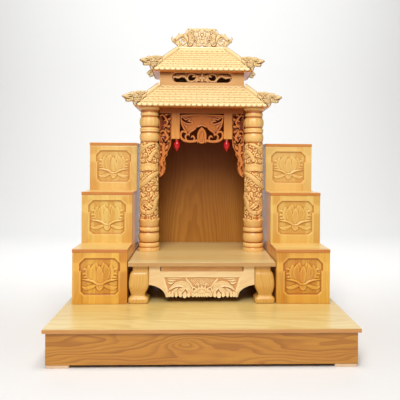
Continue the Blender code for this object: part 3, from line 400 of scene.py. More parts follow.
# %% A whole wood
def make_wood(name, along, pale, deep, late, *, rings=0.5, density=60, arch=3, climb=0.15, wobble=0.05,
              strips=0.0, strip_width=0.03, streaks=0.35, cuts=None, cut_share=1.0, edge=None, knot=(9.0, 0.0),
              shift=0.0, seed=0, rough=0.38, coat=0.25, gloss=0.5):
    """A lacquered wood. Pale, deep, late, cuts (painted shade, in hollows and wherever the carving attribute is low)
    and edge (on sawn edges) are display colours.
    """
    pale, deep, late = srgb(*pale), srgb(*deep), srgb(*late)
    material, tree, shader = new_material(name)
    run, across, depth = grain_axes(tree, along)
    if strips:
        strip = place_group(tree, planks_group, {"Across": across, "Width": strip_width, "Seed": seed})
        run = calc(tree, "ADD", run, scaled(tree, strip["Tone"], 0.9))
    grain = place_group(tree, figure_group, {
        "Along": run, "Across": calc(tree, "ADD", across, shift), "Depth": depth, "Density": density, "Arch": arch,
        "Climb": climb, "Wobble": wobble, "Seed": seed, "Knot along": knot[0], "Knot across": knot[1]})
    fibre = place_group(tree, fibre_group, {"Along": run, "Across": across, "Depth": depth})
    tone = scaled(tree, fibre["Streak"], streaks, 0.5 - 0.5 * streaks)
    tone = scaled(tree, calc(tree, "SUBTRACT", fibre["Cloud"], 0.5), 0.6, tone)
    if strips:
        tone = scaled(tree, calc(tree, "SUBTRACT", strip["Tone"], 0.5), strips, tone)
    colour = mix_colour(tree, smooth_range(tree, tone, 0.15, 0.85), pale, deep)
    line = scaled(tree, grain["Ring tone"], 0.5, 0.5)
    line = scaled(tree, scaled(tree, grain["Late wood"], line), rings)
    colour = mix_colour(tree, line, colour, late)
    if strips:
        colour = mix_colour(tree, scaled(tree, strip["Seam"], 0.35), colour, late)
        redder = scaled(tree, smooth_range(tree, strip["Hue"], 0.62, 0.95), 0.45 * min(strips, 1.0))
        colour = mix_colour(tree, redder, colour, tuple(v * f for v, f in zip(deep, (1.0, 0.78, 0.66))))
    colour = shade_highlight_and_edge_colour(tree, colour, pale, fibre["Streak"], cuts, cut_share, edge)
    height = scaled(tree, fibre["Fine"], 0.6, scaled(tree, line, -0.4))
    bump = add_node(tree, "ShaderNodeBump", {"Strength": 0.25, "Distance": 0.0004, "Height": height}).outputs[0]
    uneven = scaled(tree, fibre["Streak"], 0.22, rough - 0.11)
    give_out(tree, shader.inputs, {"Normal": bump, "Base Color": colour, "Roughness": uneven})
    for socket, value in (("Coat Weight", coat), ("Specular IOR Level", gloss), ("Coat Roughness", 0.22)):
        shader.inputs[socket].default_value = value
    return material


print("wood recipe ready")

# %% [markdown]
# ### The woods of this altar
#
# Colours are display values, made linear in the recipe. The side units are orange-gold strips with redder front
# edges, the base top is straw yellow with its strips running left to right, the carved timber is the palest, and the
# back of the niche is a brown veneer.

# %% Mix the woods
# lower risers are darker and more orange: partly their own wood, partly painted shade, as less light reaches them
riser_tones = {
    "low": ((231, 178, 70), (206, 139, 40), (171, 95, 20)),
    "mid": ((226, 189, 102), (215, 163, 73), (194, 127, 50)),
    "high": ((225, 187, 109), (215, 165, 83), (195, 130, 58)),
}
riser_woods = {
    level: make_wood(f"riser_pine_{level}", "Z", *tones, rings=0.32, density=110, arch=1.2, climb=0.10, strips=1.7,
                     strip_width=0.024, streaks=0.7, cuts=tones[2], cut_share=0.8, seed=1.7 * number, rough=0.36)
    for number, (level, tones) in enumerate(riser_tones.items())
}
step_side_wood = make_wood(
    "step_side_pine", "Z", (238, 184, 100), (222, 156, 72), (200, 122, 50), rings=0.35, density=90,
    arch=1.2, strips=0.9, strip_width=0.045, seed=3)
tread_wood = make_wood(
    "tread_pine", "X", (240, 213, 134), (226, 184, 103), (200, 142, 67), rings=0.4, density=100,
    arch=1.5, strips=0.5, strip_width=0.05, edge=(195, 111, 32), seed=5)
base_top_wood = make_wood(
    "base_top_pine", "X", (232, 209, 143), (220, 190, 115), (201, 162, 86), rings=0.4, density=75,
    arch=1, climb=0.06, wobble=0.06, strips=0.5, strip_width=0.085, edge=(199, 130, 62), seed=7, coat=0.4)
# its deep orange is partly the wood's own, partly painted bounce light from an orange floor
base_side_wood = make_wood(
    "base_side_pine", "X", (203, 141, 46), (186, 119, 34), (154, 88, 18), rings=0.72, density=66,
    arch=8, climb=0.04, wobble=0.12, knot=(-0.05, 0.01), shift=0.305, streaks=0.8, seed=9)
cleat_wood = make_wood(
    "cleat_pine", "Y", (236, 206, 172), (222, 186, 150), (200, 160, 120), rings=0.3, coat=0.0, rough=0.6)
table_wood = make_wood(
    "table_pine", "X", (225, 204, 145), (213, 180, 111), (189, 145, 78), rings=0.4, density=80,
    arch=1.2, wobble=0.05, strips=0.4, strip_width=0.09, edge=(193, 143, 81), seed=11, coat=0.35)
carved_wood = make_wood(
    "carved_timber", "Z", (237, 195, 122), (227, 175, 95), (212, 149, 72), rings=0.25, density=90,
    arch=1.5, cuts=(188, 111, 43), streaks=0.4, rough=0.42, seed=13)
apron_wood = make_wood(
    "apron_timber", "X", (249, 223, 174), (240, 201, 139), (222, 172, 107), rings=0.3, density=80,
    arch=1.5, cuts=(209, 143, 77), cut_share=0.75, rough=0.42, seed=17)
tile_wood = make_wood(
    "tile_timber", "X", (232, 204, 150), (220, 186, 126), (204, 164, 100), rings=0.15,
    arch=1.2, cuts=(150, 98, 44), streaks=0.3, rough=0.45, seed=19)
attic_wood = make_wood(
    "attic_timber", "X", (220, 172, 108), (208, 154, 90), (190, 132, 68), rings=0.15,
    arch=1.2, cuts=(116, 36, 6), streaks=0.3, rough=0.45, gloss=0.3, seed=67)
# darker than the tile wood: partly its own redder tone, partly painted shade under the tile overhang
eave_wood = make_wood(
    "eave_timber", "X", (219, 133, 41), (201, 111, 29), (174, 85, 17), rings=0.3,
    arch=1.2, seed=61)
shelf_wood = make_wood(
    "shelf_pine", "X", (236, 182, 112), (224, 162, 90), (198, 130, 62), rings=0.4, density=70,
    seed=37)
fret_wood = make_wood(
    "fretwork_timber", "Z", (200, 121, 56), (183, 102, 41), (160, 82, 28), rings=0.25, density=90,
    arch=1.5, cuts=(104, 37, 7), streaks=0.4, rough=0.42, gloss=0.2, coat=0.1, seed=53)
dragon_wood = make_wood(
    "dragon_timber", "X", (223, 198, 148), (211, 176, 116), (197, 150, 87), rings=0.2, density=90,
    arch=1.5, cuts=(155, 91, 38), streaks=0.4, rough=0.42, seed=59)
leg_wood = make_wood(
    "leg_timber", "Z", (229, 183, 98), (214, 159, 72), (192, 127, 48), rings=0.4, density=70,
    climb=0.3, wobble=0.08, seed=43)
post_wood = make_wood(
    "post_timber", "Z", (226, 160, 80), (208, 136, 60), (184, 106, 40), rings=0.35, density=80,
    cuts=(140, 66, 20), gloss=0.3, seed=41)
# its cuts colour is also the painted shade that darkens the niche's walls towards the top
back_wood = make_wood(
    "back_veneer", "Z", (195, 134, 55), (177, 115, 42), (136, 81, 25), rings=0.5, density=34,
    arch=13, climb=0.16, wobble=0.1, streaks=0.5, cuts=(110, 44, 9), shift=-0.317, seed=29, rough=0.45,
    gloss=0.2, coat=0.1)
print("materials:", len(bpy.data.materials))

# %% [markdown]
# ## Carving with strokes
#
# A carver draws the design on the board, cuts the ground away, then rounds and hollows what is left. Code can do the
# same. The drawing is a list of strokes: paths of (across, up, radius) points, thin at the tip of a leaf and wide in
# its middle. For each point of a fine grid, `follow` finds how deep inside the stroke the point is, on which side,
# and how far along. That is enough to shape a round stem, a hollow petal with a raised rim, or a scaly body.

# %% Strokes
def smooth_path(points, per_span=6):
    """Catmull-Rom curve through (across, up, radius) points: each span is a cubic that joins its two ends."""
    knots = np.array(points, float)
    knots = np.vstack([2 * knots[0] - knots[1], knots, 2 * knots[-1] - knots[-2]])
    t = np.linspace(0.0, 1.0, per_span, endpoint=False)[:, None]
    spans = [
        0.5 * (2 * b + (c - a) * t + (2 * a - 5 * b + 4 * c - d) * t**2 + (3 * b - a - 3 * c + d) * t**3)
        for a, b, c, d in zip(knots[:-3], knots[1:-2], knots[2:-1], knots[3:])
    ]
    return np.vstack([*spans, knots[-2][None, :]])


def box_depth(across, up, low, high):
    """How far inside an upright rectangle each point is."""
    return np.minimum.reduce([across - low[0], high[0] - across, up - low[1], high[1] - up])


def follow(across, up, stroke, margin=1.0):
    """Depth inside a stroke (radius minus distance to its path), side (-1 to 1) and millimetres along, per point."""
    path = smooth_path(stroke) if len(stroke) > 2 else np.array(stroke, float)
    reach = path[:, 2].max() + margin
    low, high = path[:, :2].min(0) - reach, path[:, :2].max(0) + reach
    near = box_depth(across, up, low, high) > 0
    depth, side, along = np.full(across.shape, -9.0), np.full(across.shape, 9.0), np.zeros(across.shape)
    start, step = path[:-1], np.diff(path, axis=0)
    length = np.hypot(step[:, 0], step[:, 1]) + 1e-9
    dx, dz = across[near][:, None] - start[:, 0], up[near][:, None] - start[:, 1]
    share = np.clip((dx * step[:, 0] + dz * step[:, 1]) / length**2, 0.0, 1.0)
    radius = start[:, 2] + share * step[:, 2]
    away = np.hypot(dx - share * step[:, 0], dz - share * step[:, 1])
    best = np.argmax(radius - away, axis=1)
    pick = (np.arange(len(best)), best)
    turn = np.sign(step[best, 0] * dz[pick] - step[best, 1] * dx[pick])
    depth[near] = (radius - away)[pick]
    side[near] = turn * away[pick] / np.maximum(radius[pick], 0.05)
    along[near] = (np.cumsum(length) - length)[best] + share[pick] * length[best]
    return depth, side, along


def union(across, up, strokes):
    """Depth inside any of several strokes: the largest of their depths."""
    return np.max([follow(across, up, stroke, 4.0)[0] for stroke in strokes], axis=0)


def mirrored(strokes):
    """The strokes and their mirror images across the middle line."""
    return strokes + [[(-x, z, r) for x, z, r in stroke] for stroke in strokes]


def leaf(x0, z0, x1, z1, width, bow=0.0):
    """A leaf-shaped stroke from root to tip: widest past the middle, bowed sideways by a parabola of height bow."""
    dx, dz = x1 - x0, z1 - z0
    length = math.hypot(dx, dz)
    s, wide = np.array([(0.0, 0.4), (0.3, 0.85), (0.55, 1.0), (0.8, 0.66), (1.0, 0.12)]).T
    aside = bow * 4 * s * (1 - s) / length
    return list(zip(x0 + dx * s - dz * aside, z0 + dz * s + dx * aside, width * wide))


def volute(x, z, size, start, turns, width, tip=0.4):
    """A spiral stroke: its reach from (x, z) shrinks by 80 percent while it turns. Start is in degrees."""
    count = max(5, int(abs(turns) * 9) + 1)
    s = np.linspace(0, 1, count)
    angle = math.radians(start) + turns * 2 * np.pi * s
    reach = size * (1 - 0.8 * s)
    radius = width * (1 - (1 - tip) * s)
    return list(zip(x + reach * np.cos(angle), z + reach * np.sin(angle), radius))


def ease_step(low, high, value):
    """0 below low, 1 above high, and 3t^2 - 2t^3 between them."""
    t = np.clip((value - low) / (high - low), 0.0, 1.0)
    return t * t * (3 - 2 * t)


def soften(field, passes):
    """Blurs a grid of values: each pass mixes a point with its neighbours 1 to 2 to 1, both ways."""
    for _ in range(passes):
        for axis in (0, 1):
            padded = np.pad(field, [(1, 1) if a == axis else (0, 0) for a in (0, 1)], mode="edge")
            parts = [np.take(padded, range(i, i + field.shape[axis]), axis) for i in range(3)]
            field = (parts[0] + 2 * parts[1] + parts[2]) / 4
    return field


sample_grid = np.meshgrid(np.arange(-5.0, 6), np.arange(-5.0, 6), indexing="ij")
sample_depth = follow(*sample_grid, [(-4, 0, 1), (0, 0, 3), (4, 0, 1)])[0]
print("deepest point of a small stroke:", sample_depth.max().round(2), "mm")

# %% [markdown]
# ### The carving bench
#
# `Carving` holds a grid of heights and a few cuts named after what a carver does. Every cut covers what is under
# it, from back to front, so the order of the calls is the order of overlap. All numbers are millimetres.

# %% Cuts
class Carving:
    """Heights over a grid. A cut mixes its own heights in by how far inside its stroke a point is."""

    def __init__(self, across, up, height):
        self.across, self.up = across, up
        self.height = np.broadcast_to(height, across.shape).astype(float).copy()

    def cover(self, depth, height, edge=1.0):
        """Mixes heights in: not at all at the outline, fully from edge millimetres inside it."""
        share = ease_step(0.0, edge, depth)
        self.height = self.height * (1 - share) + height * share

    def outline(self, stroke, depth=1.2, width=1.6):
        """Cuts the ground away around a stroke, deepest at its edge."""
        inside = follow(self.across, self.up, stroke, width + 1)[0]
        self.height -= depth * ease_step(-width, 0.0, inside)

    def stem(self, stroke, low, rise, edge=0.9, ground=1.0):
        """A round stem: height = low + rise * sqrt(1 - side^2)."""
        self.outline(stroke, ground)
        depth, side, _ = follow(self.across, self.up, stroke)
        self.cover(depth, low + rise * np.sqrt(np.clip(1 - side**2, 0, 1)), edge)

    def petal(self, stroke, low, rise, hollow=0.55, rib=0.25, edge=0.9, ground=1.0, veins=0.0):
        """A hollow petal: low + rise * (1 - hollow * (1 - |side|^3)), with a rib along the middle and side veins."""
        self.outline(stroke, ground)
        depth, side, along = follow(self.across, self.up, stroke)
        wide = np.clip(np.abs(side), 0, 1)
        height = low + rise * (1 - hollow * (1 - wide**3)) + rib * rise * np.exp(-((side / 0.16) ** 2))
        height += veins * np.cos(2.2 * along - 3.0 * wide) * ease_step(0.1, 0.4, wide) * ease_step(1.0, 0.75, wide)
        self.cover(depth, height, edge)

    def scaly(self, stroke, low, rise, pitch=4.5, edge=0.9, ground=1.2, bite=0.5):
        """A dragon's body: a round stem under rows of overlapping scales and a row of spines."""
        self.outline(stroke, ground)
        depth, side, along = follow(self.across, self.up, stroke)
        bow = np.sqrt(np.clip(1 - side**2, 0, 1))
        rows = np.arcsin(np.clip(side, -1, 1)) * 3.2
        step = along / pitch + 0.5 * np.floor(rows) + 0.9 * (rows - np.floor(rows) - 0.5) ** 2
        scale = (step - np.floor(step)) * ease_step(0.5, 0.34, np.abs(rows - np.floor(rows) - 0.5))
        self.cover(depth, low + rise * bow + bite * (scale - 0.5), edge)

    def groove(self, stroke, deep):
        """A cut with a rounded bottom."""
        depth, side, _ = follow(self.across, self.up, stroke)
        self.height -= deep * np.sqrt(np.clip(1 - side**2, 0, 1)) * ease_step(0.0, 0.6, depth)

    def boss(self, x, z, radius, low, rise, ground=1.0):
        """A round pearl or berry."""
        self.stem([(x - 0.01, z, radius), (x + 0.01, z, radius)], low, rise, 0.8, ground)

    def shade(self, passes=14, reach=0.9):
        """Painted shade and highlight: 0.5 on level ground, lower in cuts, higher on ridges: height minus blurred
        height, scaled by reach.
        """
        fine = self.height - soften(self.height, passes)
        broad = self.height - soften(self.height, 4 * passes)
        return np.clip(0.5 + (0.6 * fine + 0.4 * broad) / (2 * reach), 0.0, 1.0)


print("cuts:", [name for name in vars(Carving) if not name.startswith("_")])

# %% [markdown]
# ### From a field of heights to a solid
#
# Fretwork is sawn through, so its outline and holes aren't rectangles, yet a plain grid can hold it. Points within
# half a step of the outline are slid onto it, squares with all four corners inside are kept, squares with three
# become triangles, and wherever a kept face has no neighbour a wall joins the front to the back. The result is
# closed, its faces point outwards, and it needs no boolean.

# %% A carved solid
def grid_lines(low, high, step):
    """Evenly spaced values from low to high, about step apart."""
    return np.linspace(low, high, max(2, int(round((high - low) / step)) + 1))


def open_edges(faces):
    """Directed edges (from, to) of polygons that no other polygon runs back along."""
    pairs = [np.stack([f, np.roll(f, -1, axis=1)], -1).reshape(-1, 2) for f in faces if len(f)]
    edges = np.concatenate(pairs).astype(np.int64)
    size = int(edges.max()) + 1
    codes, back = edges[:, 0] * size + edges[:, 1], edges[:, 1] * size + edges[:, 0]
    return edges[~np.isin(codes, back)]


def side_walls(edges, total):
    """Quads from the open edges of a front sheet to a back sheet whose point numbers are total higher."""
    return np.stack([edges[:, 1], edges[:, 0], edges[:, 0] + total, edges[:, 1] + total], -1)


def drop_unused(points, quads, tris, shade):
    """Leaves out the points that no face uses and renumbers the faces."""
    used = np.unique(np.concatenate([quads.ravel(), tris.ravel()]))
    renumber = np.zeros(len(points), np.int64)
    renumber[used] = np.arange(len(used))
    return points[used], renumber[quads], renumber[tris], shade[used]


def facing_front(x, y, z):
    """Place on a board that faces the front: across is +X, out is -Y, up is +Z."""
    return lambda across, out, up: np.stack([x + across, y - out, z + up], -1)


def carved_solid(across, up, inside, front, back, place, shade=0.5, back_shade=0.5):
    """Points, quads, tris and shade of the solid between front and -back where inside is above 0. Units are mm."""
    step = across[1, 0] - across[0, 0]
    slope_x, slope_z = np.gradient(inside, across[:, 0], up[0, :])
    steep = np.maximum(np.hypot(slope_x, slope_z), 0.5)
    kept = inside > -0.5 * step * steep
    move = np.where(np.abs(inside) < 0.5 * step * steep, -inside / steep**2, 0.0)
    move = np.clip(move, -0.7 * step, 0.7 * step)
    x, z = across + move * slope_x, up + move * slope_z
    squares = grid_quads(*across.shape)
    has = kept.ravel()[squares]
    quads, three = squares[has.sum(1) == 4], has.sum(1) == 3
    missing = np.argmin(has[three], axis=1)
    turn = (missing[:, None] + np.arange(1, 4)) % 4
    tris = np.take_along_axis(squares[three], turn, 1)
    total = across.size
    walls = side_walls(open_edges([quads, tris]), total)
    sheets = [place(x.ravel() * MM, np.broadcast_to(out, x.shape).ravel() * MM, z.ravel() * MM)
              for out in (front, -back)]
    quads = np.concatenate([quads, quads[:, ::-1] + total, walls])
    tris = np.concatenate([tris, tris[:, ::-1] + total])
    both = [np.broadcast_to(s, x.shape).ravel() for s in (shade, back_shade)]
    return drop_unused(np.concatenate(sheets), quads, tris, np.concatenate(both))


def add_carving(node, material, *shape, name=None):
    """Makes the piece that stands for a node from a carved solid. Shape is all that carved_solid takes."""
    points, quads, tris, shade = carved_solid(*shape)
    return add_piece(name or node + "_carved", points, quads, tris, material, (node,), shade=shade)


disc_depth = 4 - np.hypot(*sample_grid)
disc = carved_solid(*sample_grid, disc_depth, 1.0, 1.0, facing_front(0, 0, 0))
print("a small disc:", len(disc[0]), "points,", len(open_edges([disc[1], disc[2]])), "open edges")

# %% [markdown]
# ## The plain boards
#
# Most of the altar is joinery: flat boards that meet at right angles. Each plain solid already has the right place
# and size, so a board only needs eased edges and its wood. Grain runs along a board's longest side, as a log is sawn,
# so the two end rails of the base get wood turned to Y. The niche's walls get a painted shade that grows darker towards
# the top of their inner side, where the canopy's shadow falls.

# %% Base, treads and backs
base_end_wood = make_wood(
    "base_end_pine", "Y", (222, 166, 92), (208, 146, 74), (176, 104, 42), rings=0.7, density=30,
    arch=14, climb=0.10, wobble=0.30, shift=-0.38, seed=31)
LEVELS = ("low", "mid", "high")
for side, outward in SIDES:
    add_board(f"base_rail_{side}", base_end_wood)
    add_board(f"base_cleat_{side}", cleat_wood)
    add_board(f"steps_{side}_back", step_side_wood)
    for level in LEVELS:
        add_board(f"steps_{side}_top_{level}", tread_wood, ease=1.0 * MM)
    add_board(f"side_wall_{side}", back_wood, painted_top_shade=0.45, inward=(-outward, 0))
for node in ("base_rail_front", "base_rail_back"):
    add_board(node, base_side_wood)
add_board("base_top", base_top_wood, ease=1.2 * MM)
add_board("table_top", table_wood, ease=1.2 * MM)
add_board("back_wall", back_wood, painted_top_shade=0.45, inward=(0, -1))
add_board("pull_out_shelf", shelf_wood, "shelf")
add_board("lower_eave_board", eave_wood, ease=1.0 * MM)
add_board("upper_eave_board", eave_wood, ease=1.0 * MM)

# %% [markdown]
# ### Boards cut to a shape
#
# The stair sides, the canopy frame and the plain aprons are flat boards cut to an outline, a short list of corners.
# The two faces are single polygons, and a live Bevel modifier eases every edge. The woods read Object coordinates,
# which a modifier leaves alone.

# %% Boards from an outline
def add_cut_board(name, outline, thickness, place, material, stands_for, ease=0.8 * MM, painted_top_shade=0.0):
    """A board from an anticlockwise outline of (across, up). Place turns (across, out, up) arrays into points. The last
    argument paints a shade that deepens towards the top.
    """
    across, up = np.array(outline, float).T
    count = len(across)
    points = np.concatenate([place(across, np.full(count, out), up) for out in (thickness / 2, -thickness / 2)])
    faces = [tuple(range(count)), tuple(range(2 * count - 1, count - 1, -1))]
    faces += [(i, count + i, count + (i + 1) % count, (i + 1) % count) for i in range(count)]
    mesh = bpy.data.meshes.new(name)
    mesh.from_pydata(points.tolist(), [], faces)
    # painted shade, darker towards the top
    height = (points[:, 2] - points[:, 2].min()) / np.ptp(points[:, 2])
    board = finish_piece(name, mesh, material, 0.5 - painted_top_shade * height, stands_for)
    bevel = board.modifiers.new("eased edges", "BEVEL")
    bevel.width = ease
    bevel.segments = 2
    return board


def facing_right(x, y, z):
    """Place on a board that faces +X: across is +Y, out is +X, up is +Z."""
    return lambda across, out, up: np.stack([x + out, y + across, z + up], -1)


gap = 0.3 * MM
for side, _ in SIDES:
    treads = [corners_of(f"steps_{side}_top_{level}") for level in LEVELS]
    fronts = [corners_of(f"steps_{side}_panel_{level}") for level in LEVELS]
    for which in ("inner", "outer"):
        node = f"steps_{side}_{which}_side"
        low, high = corners_of(node)
        outline = [(low[1], low[2])]
        for tread, front in zip(treads, fronts):
            behind = front[1, 1] + gap
            outline += [(behind, outline[-1][1])] if len(outline) > 1 else []
            outline += [(behind, tread[0, 2] - gap)]
        outline += [(high[1], high[2]), (high[1], low[2])]
        x = (low[0] + high[0]) / 2
        add_cut_board(node + "_wood", outline[::-1], high[0] - low[0], facing_right(x, 0, 0), step_side_wood, (node,))
print("stair outline:", np.round(outline, 3).tolist())

# %% The canopy frame and the plain aprons
low, high = corners_of("canopy_frame")
inner_x, outer_x = corners_of("valance")[1, 0] + gap, corners_of("bracket_right")[0, 0] - gap
lintel_z = corners_of("valance")[1, 2] + gap
half = [(inner_x, low[2]), (outer_x, low[2]), (outer_x, lintel_z), (high[0], lintel_z), (high[0], high[2])]
outline = [(-x, z) for x, z in reversed(half)] + [(-inner_x, lintel_z), (inner_x, lintel_z)] + half
place = facing_front(0, (low[1] + high[1]) / 2, 0)
# painted shade deepening upwards, for the canopy's shadow on the frame
add_cut_board("canopy_frame_wood", outline, high[1] - low[1], place, post_wood, ("canopy_frame",), painted_top_shade=0.35)


def plain_apron(node, arch_width=0.040, arch_height=0.030):
    """A plain apron: a board with a quarter-ellipse arch cut out of each lower corner."""
    low, high = corners_of(node)
    size, middle = high - low, (low + high) / 2
    half = size[:2].max() / 2
    angles = np.linspace(0, np.pi / 2, 9)
    arch = [(half - arch_width * math.cos(a), low[2] + arch_height * math.sin(a)) for a in angles]
    outline = [(-x, z) for x, z in reversed(arch)] + arch + [(half, high[2]), (-half, high[2])]
    facing = facing_right if size[1] > size[0] else facing_front
    return add_cut_board(node + "_wood", outline, size[:2].min(), facing(*middle[:2], 0), apron_wood, (node,))


plain_apron("table_apron_left")
plain_apron("table_apron_right")
plain_apron("table_apron_back", arch_width=0.002, arch_height=0.002)
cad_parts["shelf_guide"].data.materials.clear()
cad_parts["shelf_guide"].data.materials.append(step_side_wood)
print("cut boards made;", len(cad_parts), "nodes in the frame")

# %% [markdown]
# ## Six lotus panels
#
# The lotus grows out of mud and opens clean, so it is carved on altars all over East and South Asia. Each riser of
# the side units is one board with a sunk field in the shape of a tray, and the flower stands in it: a bowl of broad
# petals, tips that peep out behind, a ribbon of sepals, two broad leaves and a small heart-shaped base. The sunk
# field is scraped cleaner, so it is a little paler. The six boards share one drawing, mirrored on the right.

# %% The sunk field and the flower
LOTUS = {
    "tips": mirrored([
        [(38, 20, 3), (48, 24, 3.6), (56, 24, 0.8)], [(39, 8, 3), (49, 10, 3.6), (58, 8, 0.8)],
        [(36, -3, 3), (45, -1, 3.4), (54, -2, 0.8)],
    ]),
    "behind": mirrored([[(30, 20, 6), (36, 30, 6), (33, 40, 0.8)], [(9, 24, 7), (12, 38, 6), (10, 47, 0.8)]]),
    "outer": mirrored([[(14, -16, 3), (30, -7, 7), (37, 8, 8.5), (37, 22, 7), (31, 37, 0.8)]]),
    "inner": mirrored([[(6, -16, 4), (17, -6, 9), (22, 10, 11.5), (22, 25, 9), (18, 43, 0.8)]]),
    "middle": [[(0, -19, 4), (0, -6, 8.5), (0, 8, 11), (-1, 20, 9.5), (-2, 36, 0.8)]],
    "leaves": mirrored([[(10, -27, 3), (22, -31, 5.5), (36, -36, 6.4), (48, -37, 4.5), (57, -31, 0.8)]]),
    "sepals": mirrored([[(0, -25, 3.6), (9, -23, 4.2), (20, -16, 4.2), (32, -12, 3.8), (45, -10, 3.2), (57, -8, 1.2)]]),
    "base": [[(0, -26, 9), (0, -32, 12), (0, -38, 8), (0, -45, 1)]],
}


def tray_depth(across, up):
    """How far inside the sunk field: cut upper corners, a small step inwards on each side, round lower corners."""
    x = np.abs(across)
    upper = np.minimum.reduce([65 - x, 60 - up, (65 + 43 - x - up) / math.sqrt(2), up - 18])
    lower = np.minimum.reduce([60 - x, up + 59, (60 + 48 - x + up) / math.sqrt(2)])
    return np.maximum(upper, np.minimum(lower, 24 - up))


def carve_lotus(across, up):
    """Heights of the panel's face over the grid: 0 is the board's surface."""
    bench = Carving(across, up, -4.2 * ease_step(-0.8, 1.4, tray_depth(across, up)))
    for stroke in LOTUS["tips"] + LOTUS["behind"]:
        bench.petal(stroke, -4.1, 2.2, 0.3, 0.1, ground=0.3)
    for stroke in LOTUS["leaves"]:
        bench.petal(stroke, -4.1, 2.6, 0.4, 0.3, ground=0.5, veins=0.1)
    for stroke in LOTUS["base"]:
        bench.petal(stroke, -4.0, 2.6, 0.3, 0.2, ground=0.5)
    for name, low, rise in (("outer", -4.0, 2.4), ("inner", -3.7, 2.6), ("middle", -3.4, 2.8)):
        for stroke in LOTUS[name]:
            bench.petal(stroke, low, rise, 0.3, 0.08, ground=0.6, veins=0.05)
    for stroke in LOTUS["sepals"]:
        bench.stem(stroke, -3.4, 2.9, ground=0.7)
    bench.height = np.minimum(bench.height, 0.0)
    return bench


LOTUS_STEP, EASE_REACH = 1.2, 0.9
half_x = np.ptp(corners_of("steps_right_panel_mid", MM)[:, 0]) / 2
rim_lines = np.array([half_x - 4, half_x - EASE_REACH, half_x])
lotus_across = np.concatenate([-rim_lines[::-1], grid_lines(-68, 68, LOTUS_STEP), rim_lines])
print("lotus grid:", len(lotus_across), "across")

# %% [markdown]
# ### From the drawing to six boards
#
# Outside the sunk field the board is plain, so the grid there is coarse. Four narrow sides and a flat back close
# the board. Its edge is eased by pulling the outermost lines of the carved face back a little.

# %% The riser boards
def add_riser(side_name, level, foot_z):
    """One riser board: carved face, straight sides, flat back joined to the rim by a fan of triangles."""
    node = f"steps_{side_name}_panel_{level}"
    low, high = corners_of(node)
    middle_x, centre_z = (low[0] + high[0]) / 2, foot_z + 88 * MM
    bottom, top = (low[2] - centre_z) / MM, (high[2] - centre_z) / MM
    lotus_up = np.concatenate([[bottom, bottom + EASE_REACH, bottom + 5], grid_lines(-63, 64, LOTUS_STEP),
                               [top - 5, top - EASE_REACH, top]])
    across, up = np.meshgrid(lotus_across, lotus_up, indexing="ij")
    bench = carve_lotus(-across if side_name == "right" else across, up)
    rim = box_depth(across, up, (-half_x, bottom), (half_x, top))
    bench.height -= 0.9 * (1 - ease_step(-0.6, EASE_REACH, rim))
    shade = bench.shade() + 0.12 * ease_step(1.5, 4.0, tray_depth(across, up))
    place = facing_front(middle_x, low[1], centre_z)
    points = place(across.ravel() * MM, bench.height.ravel() * MM, up.ravel() * MM)
    behind = points.copy()
    behind[:, 1] = high[1]
    total = across.size
    quads = grid_quads(*across.shape)
    edges = open_edges([quads])
    fan = np.stack([edges[:, 1] + total, edges[:, 0] + total, np.full(len(edges), 2 * total)], -1)
    points = np.concatenate([points, behind, [[middle_x, high[1], centre_z]]])
    shade = np.concatenate([shade.ravel(), np.full(total + 1, 0.5)])
    points, quads, fan, shade = drop_unused(points, np.concatenate([quads, side_walls(edges, total)]), fan, shade)
    return add_piece(node + "_carved", points, quads, fan, riser_woods[level], (node,), shade=shade)


base_surface = corners_of("base_top")[1, 2]
rise = corners_of("steps_left_top_mid")[1, 2] - corners_of("steps_left_top_low")[1, 2]
for side, _ in SIDES:
    for number, level in enumerate(LEVELS):
        riser = add_riser(side, level, base_surface + rise * number)
print("last riser:", riser.name, len(riser.data.polygons), "faces")

# %% [markdown]
# ## The low table
#
# The shrine stands on a low table with cabriole legs: a square block at the top, a full knee, a narrow ankle and a
# cushion foot. A leg is a stack of rounded squares, one for each height. A superellipse, |x|^n + |y|^n = 1 with n of
# about 7, is a square with soft corners in one formula.

# %% Legs
def closed_stack(rings):
    """Points, quads and tris of a closed solid through rings (levels, count, 3), anticlockwise and going up."""
    levels, count = rings.shape[:2]
    points = np.concatenate([rings.reshape(-1, 3), rings[:1].mean(1), rings[-1:].mean(1)])
    around = np.arange(count)
    following = (around + 1) % count
    foot = np.stack([following, around, np.full(count, levels * count)], -1)
    last = (levels - 1) * count
    head = np.stack([last + around, last + following, np.full(count, levels * count + 1)], -1)
    return points, grid_quads(levels, count, wrap=True)[:, ::-1], np.concatenate([foot, head])


LEG = (  # reach outward, height above the base, reach inward (mm), foot to head
    (235.5, 0.3, 177), (238.6, 2, 174), (239.6, 8, 173), (239.2, 14.5, 173.5), (236.5, 19, 176.5),
    (232.2, 23, 182.5), (231.2, 27, 184.5), (232.6, 33, 183), (235.4, 42, 178.5), (237.8, 52, 174),
    (238.4, 62, 172.6), (237.6, 76, 172.6), (235.4, 90, 172.6), (232.8, 98, 172.6), (229.6, 102.2, 172.6),
    (227.8, 103.4, 172.6), (227.5, 106, 172.6), (227.5, 120.7, 172.6),
)
LEG_REACH = max(reach for reach, _, _ in LEG)


def soft_square(angle):
    """A superellipse's x and y for an angle: sign(cos) * |cos|^(2/n) and the same with sin, with n = 7."""
    circle = np.stack([np.cos(angle), np.sin(angle)])
    return np.sign(circle) * np.abs(circle) ** (2 / 7)


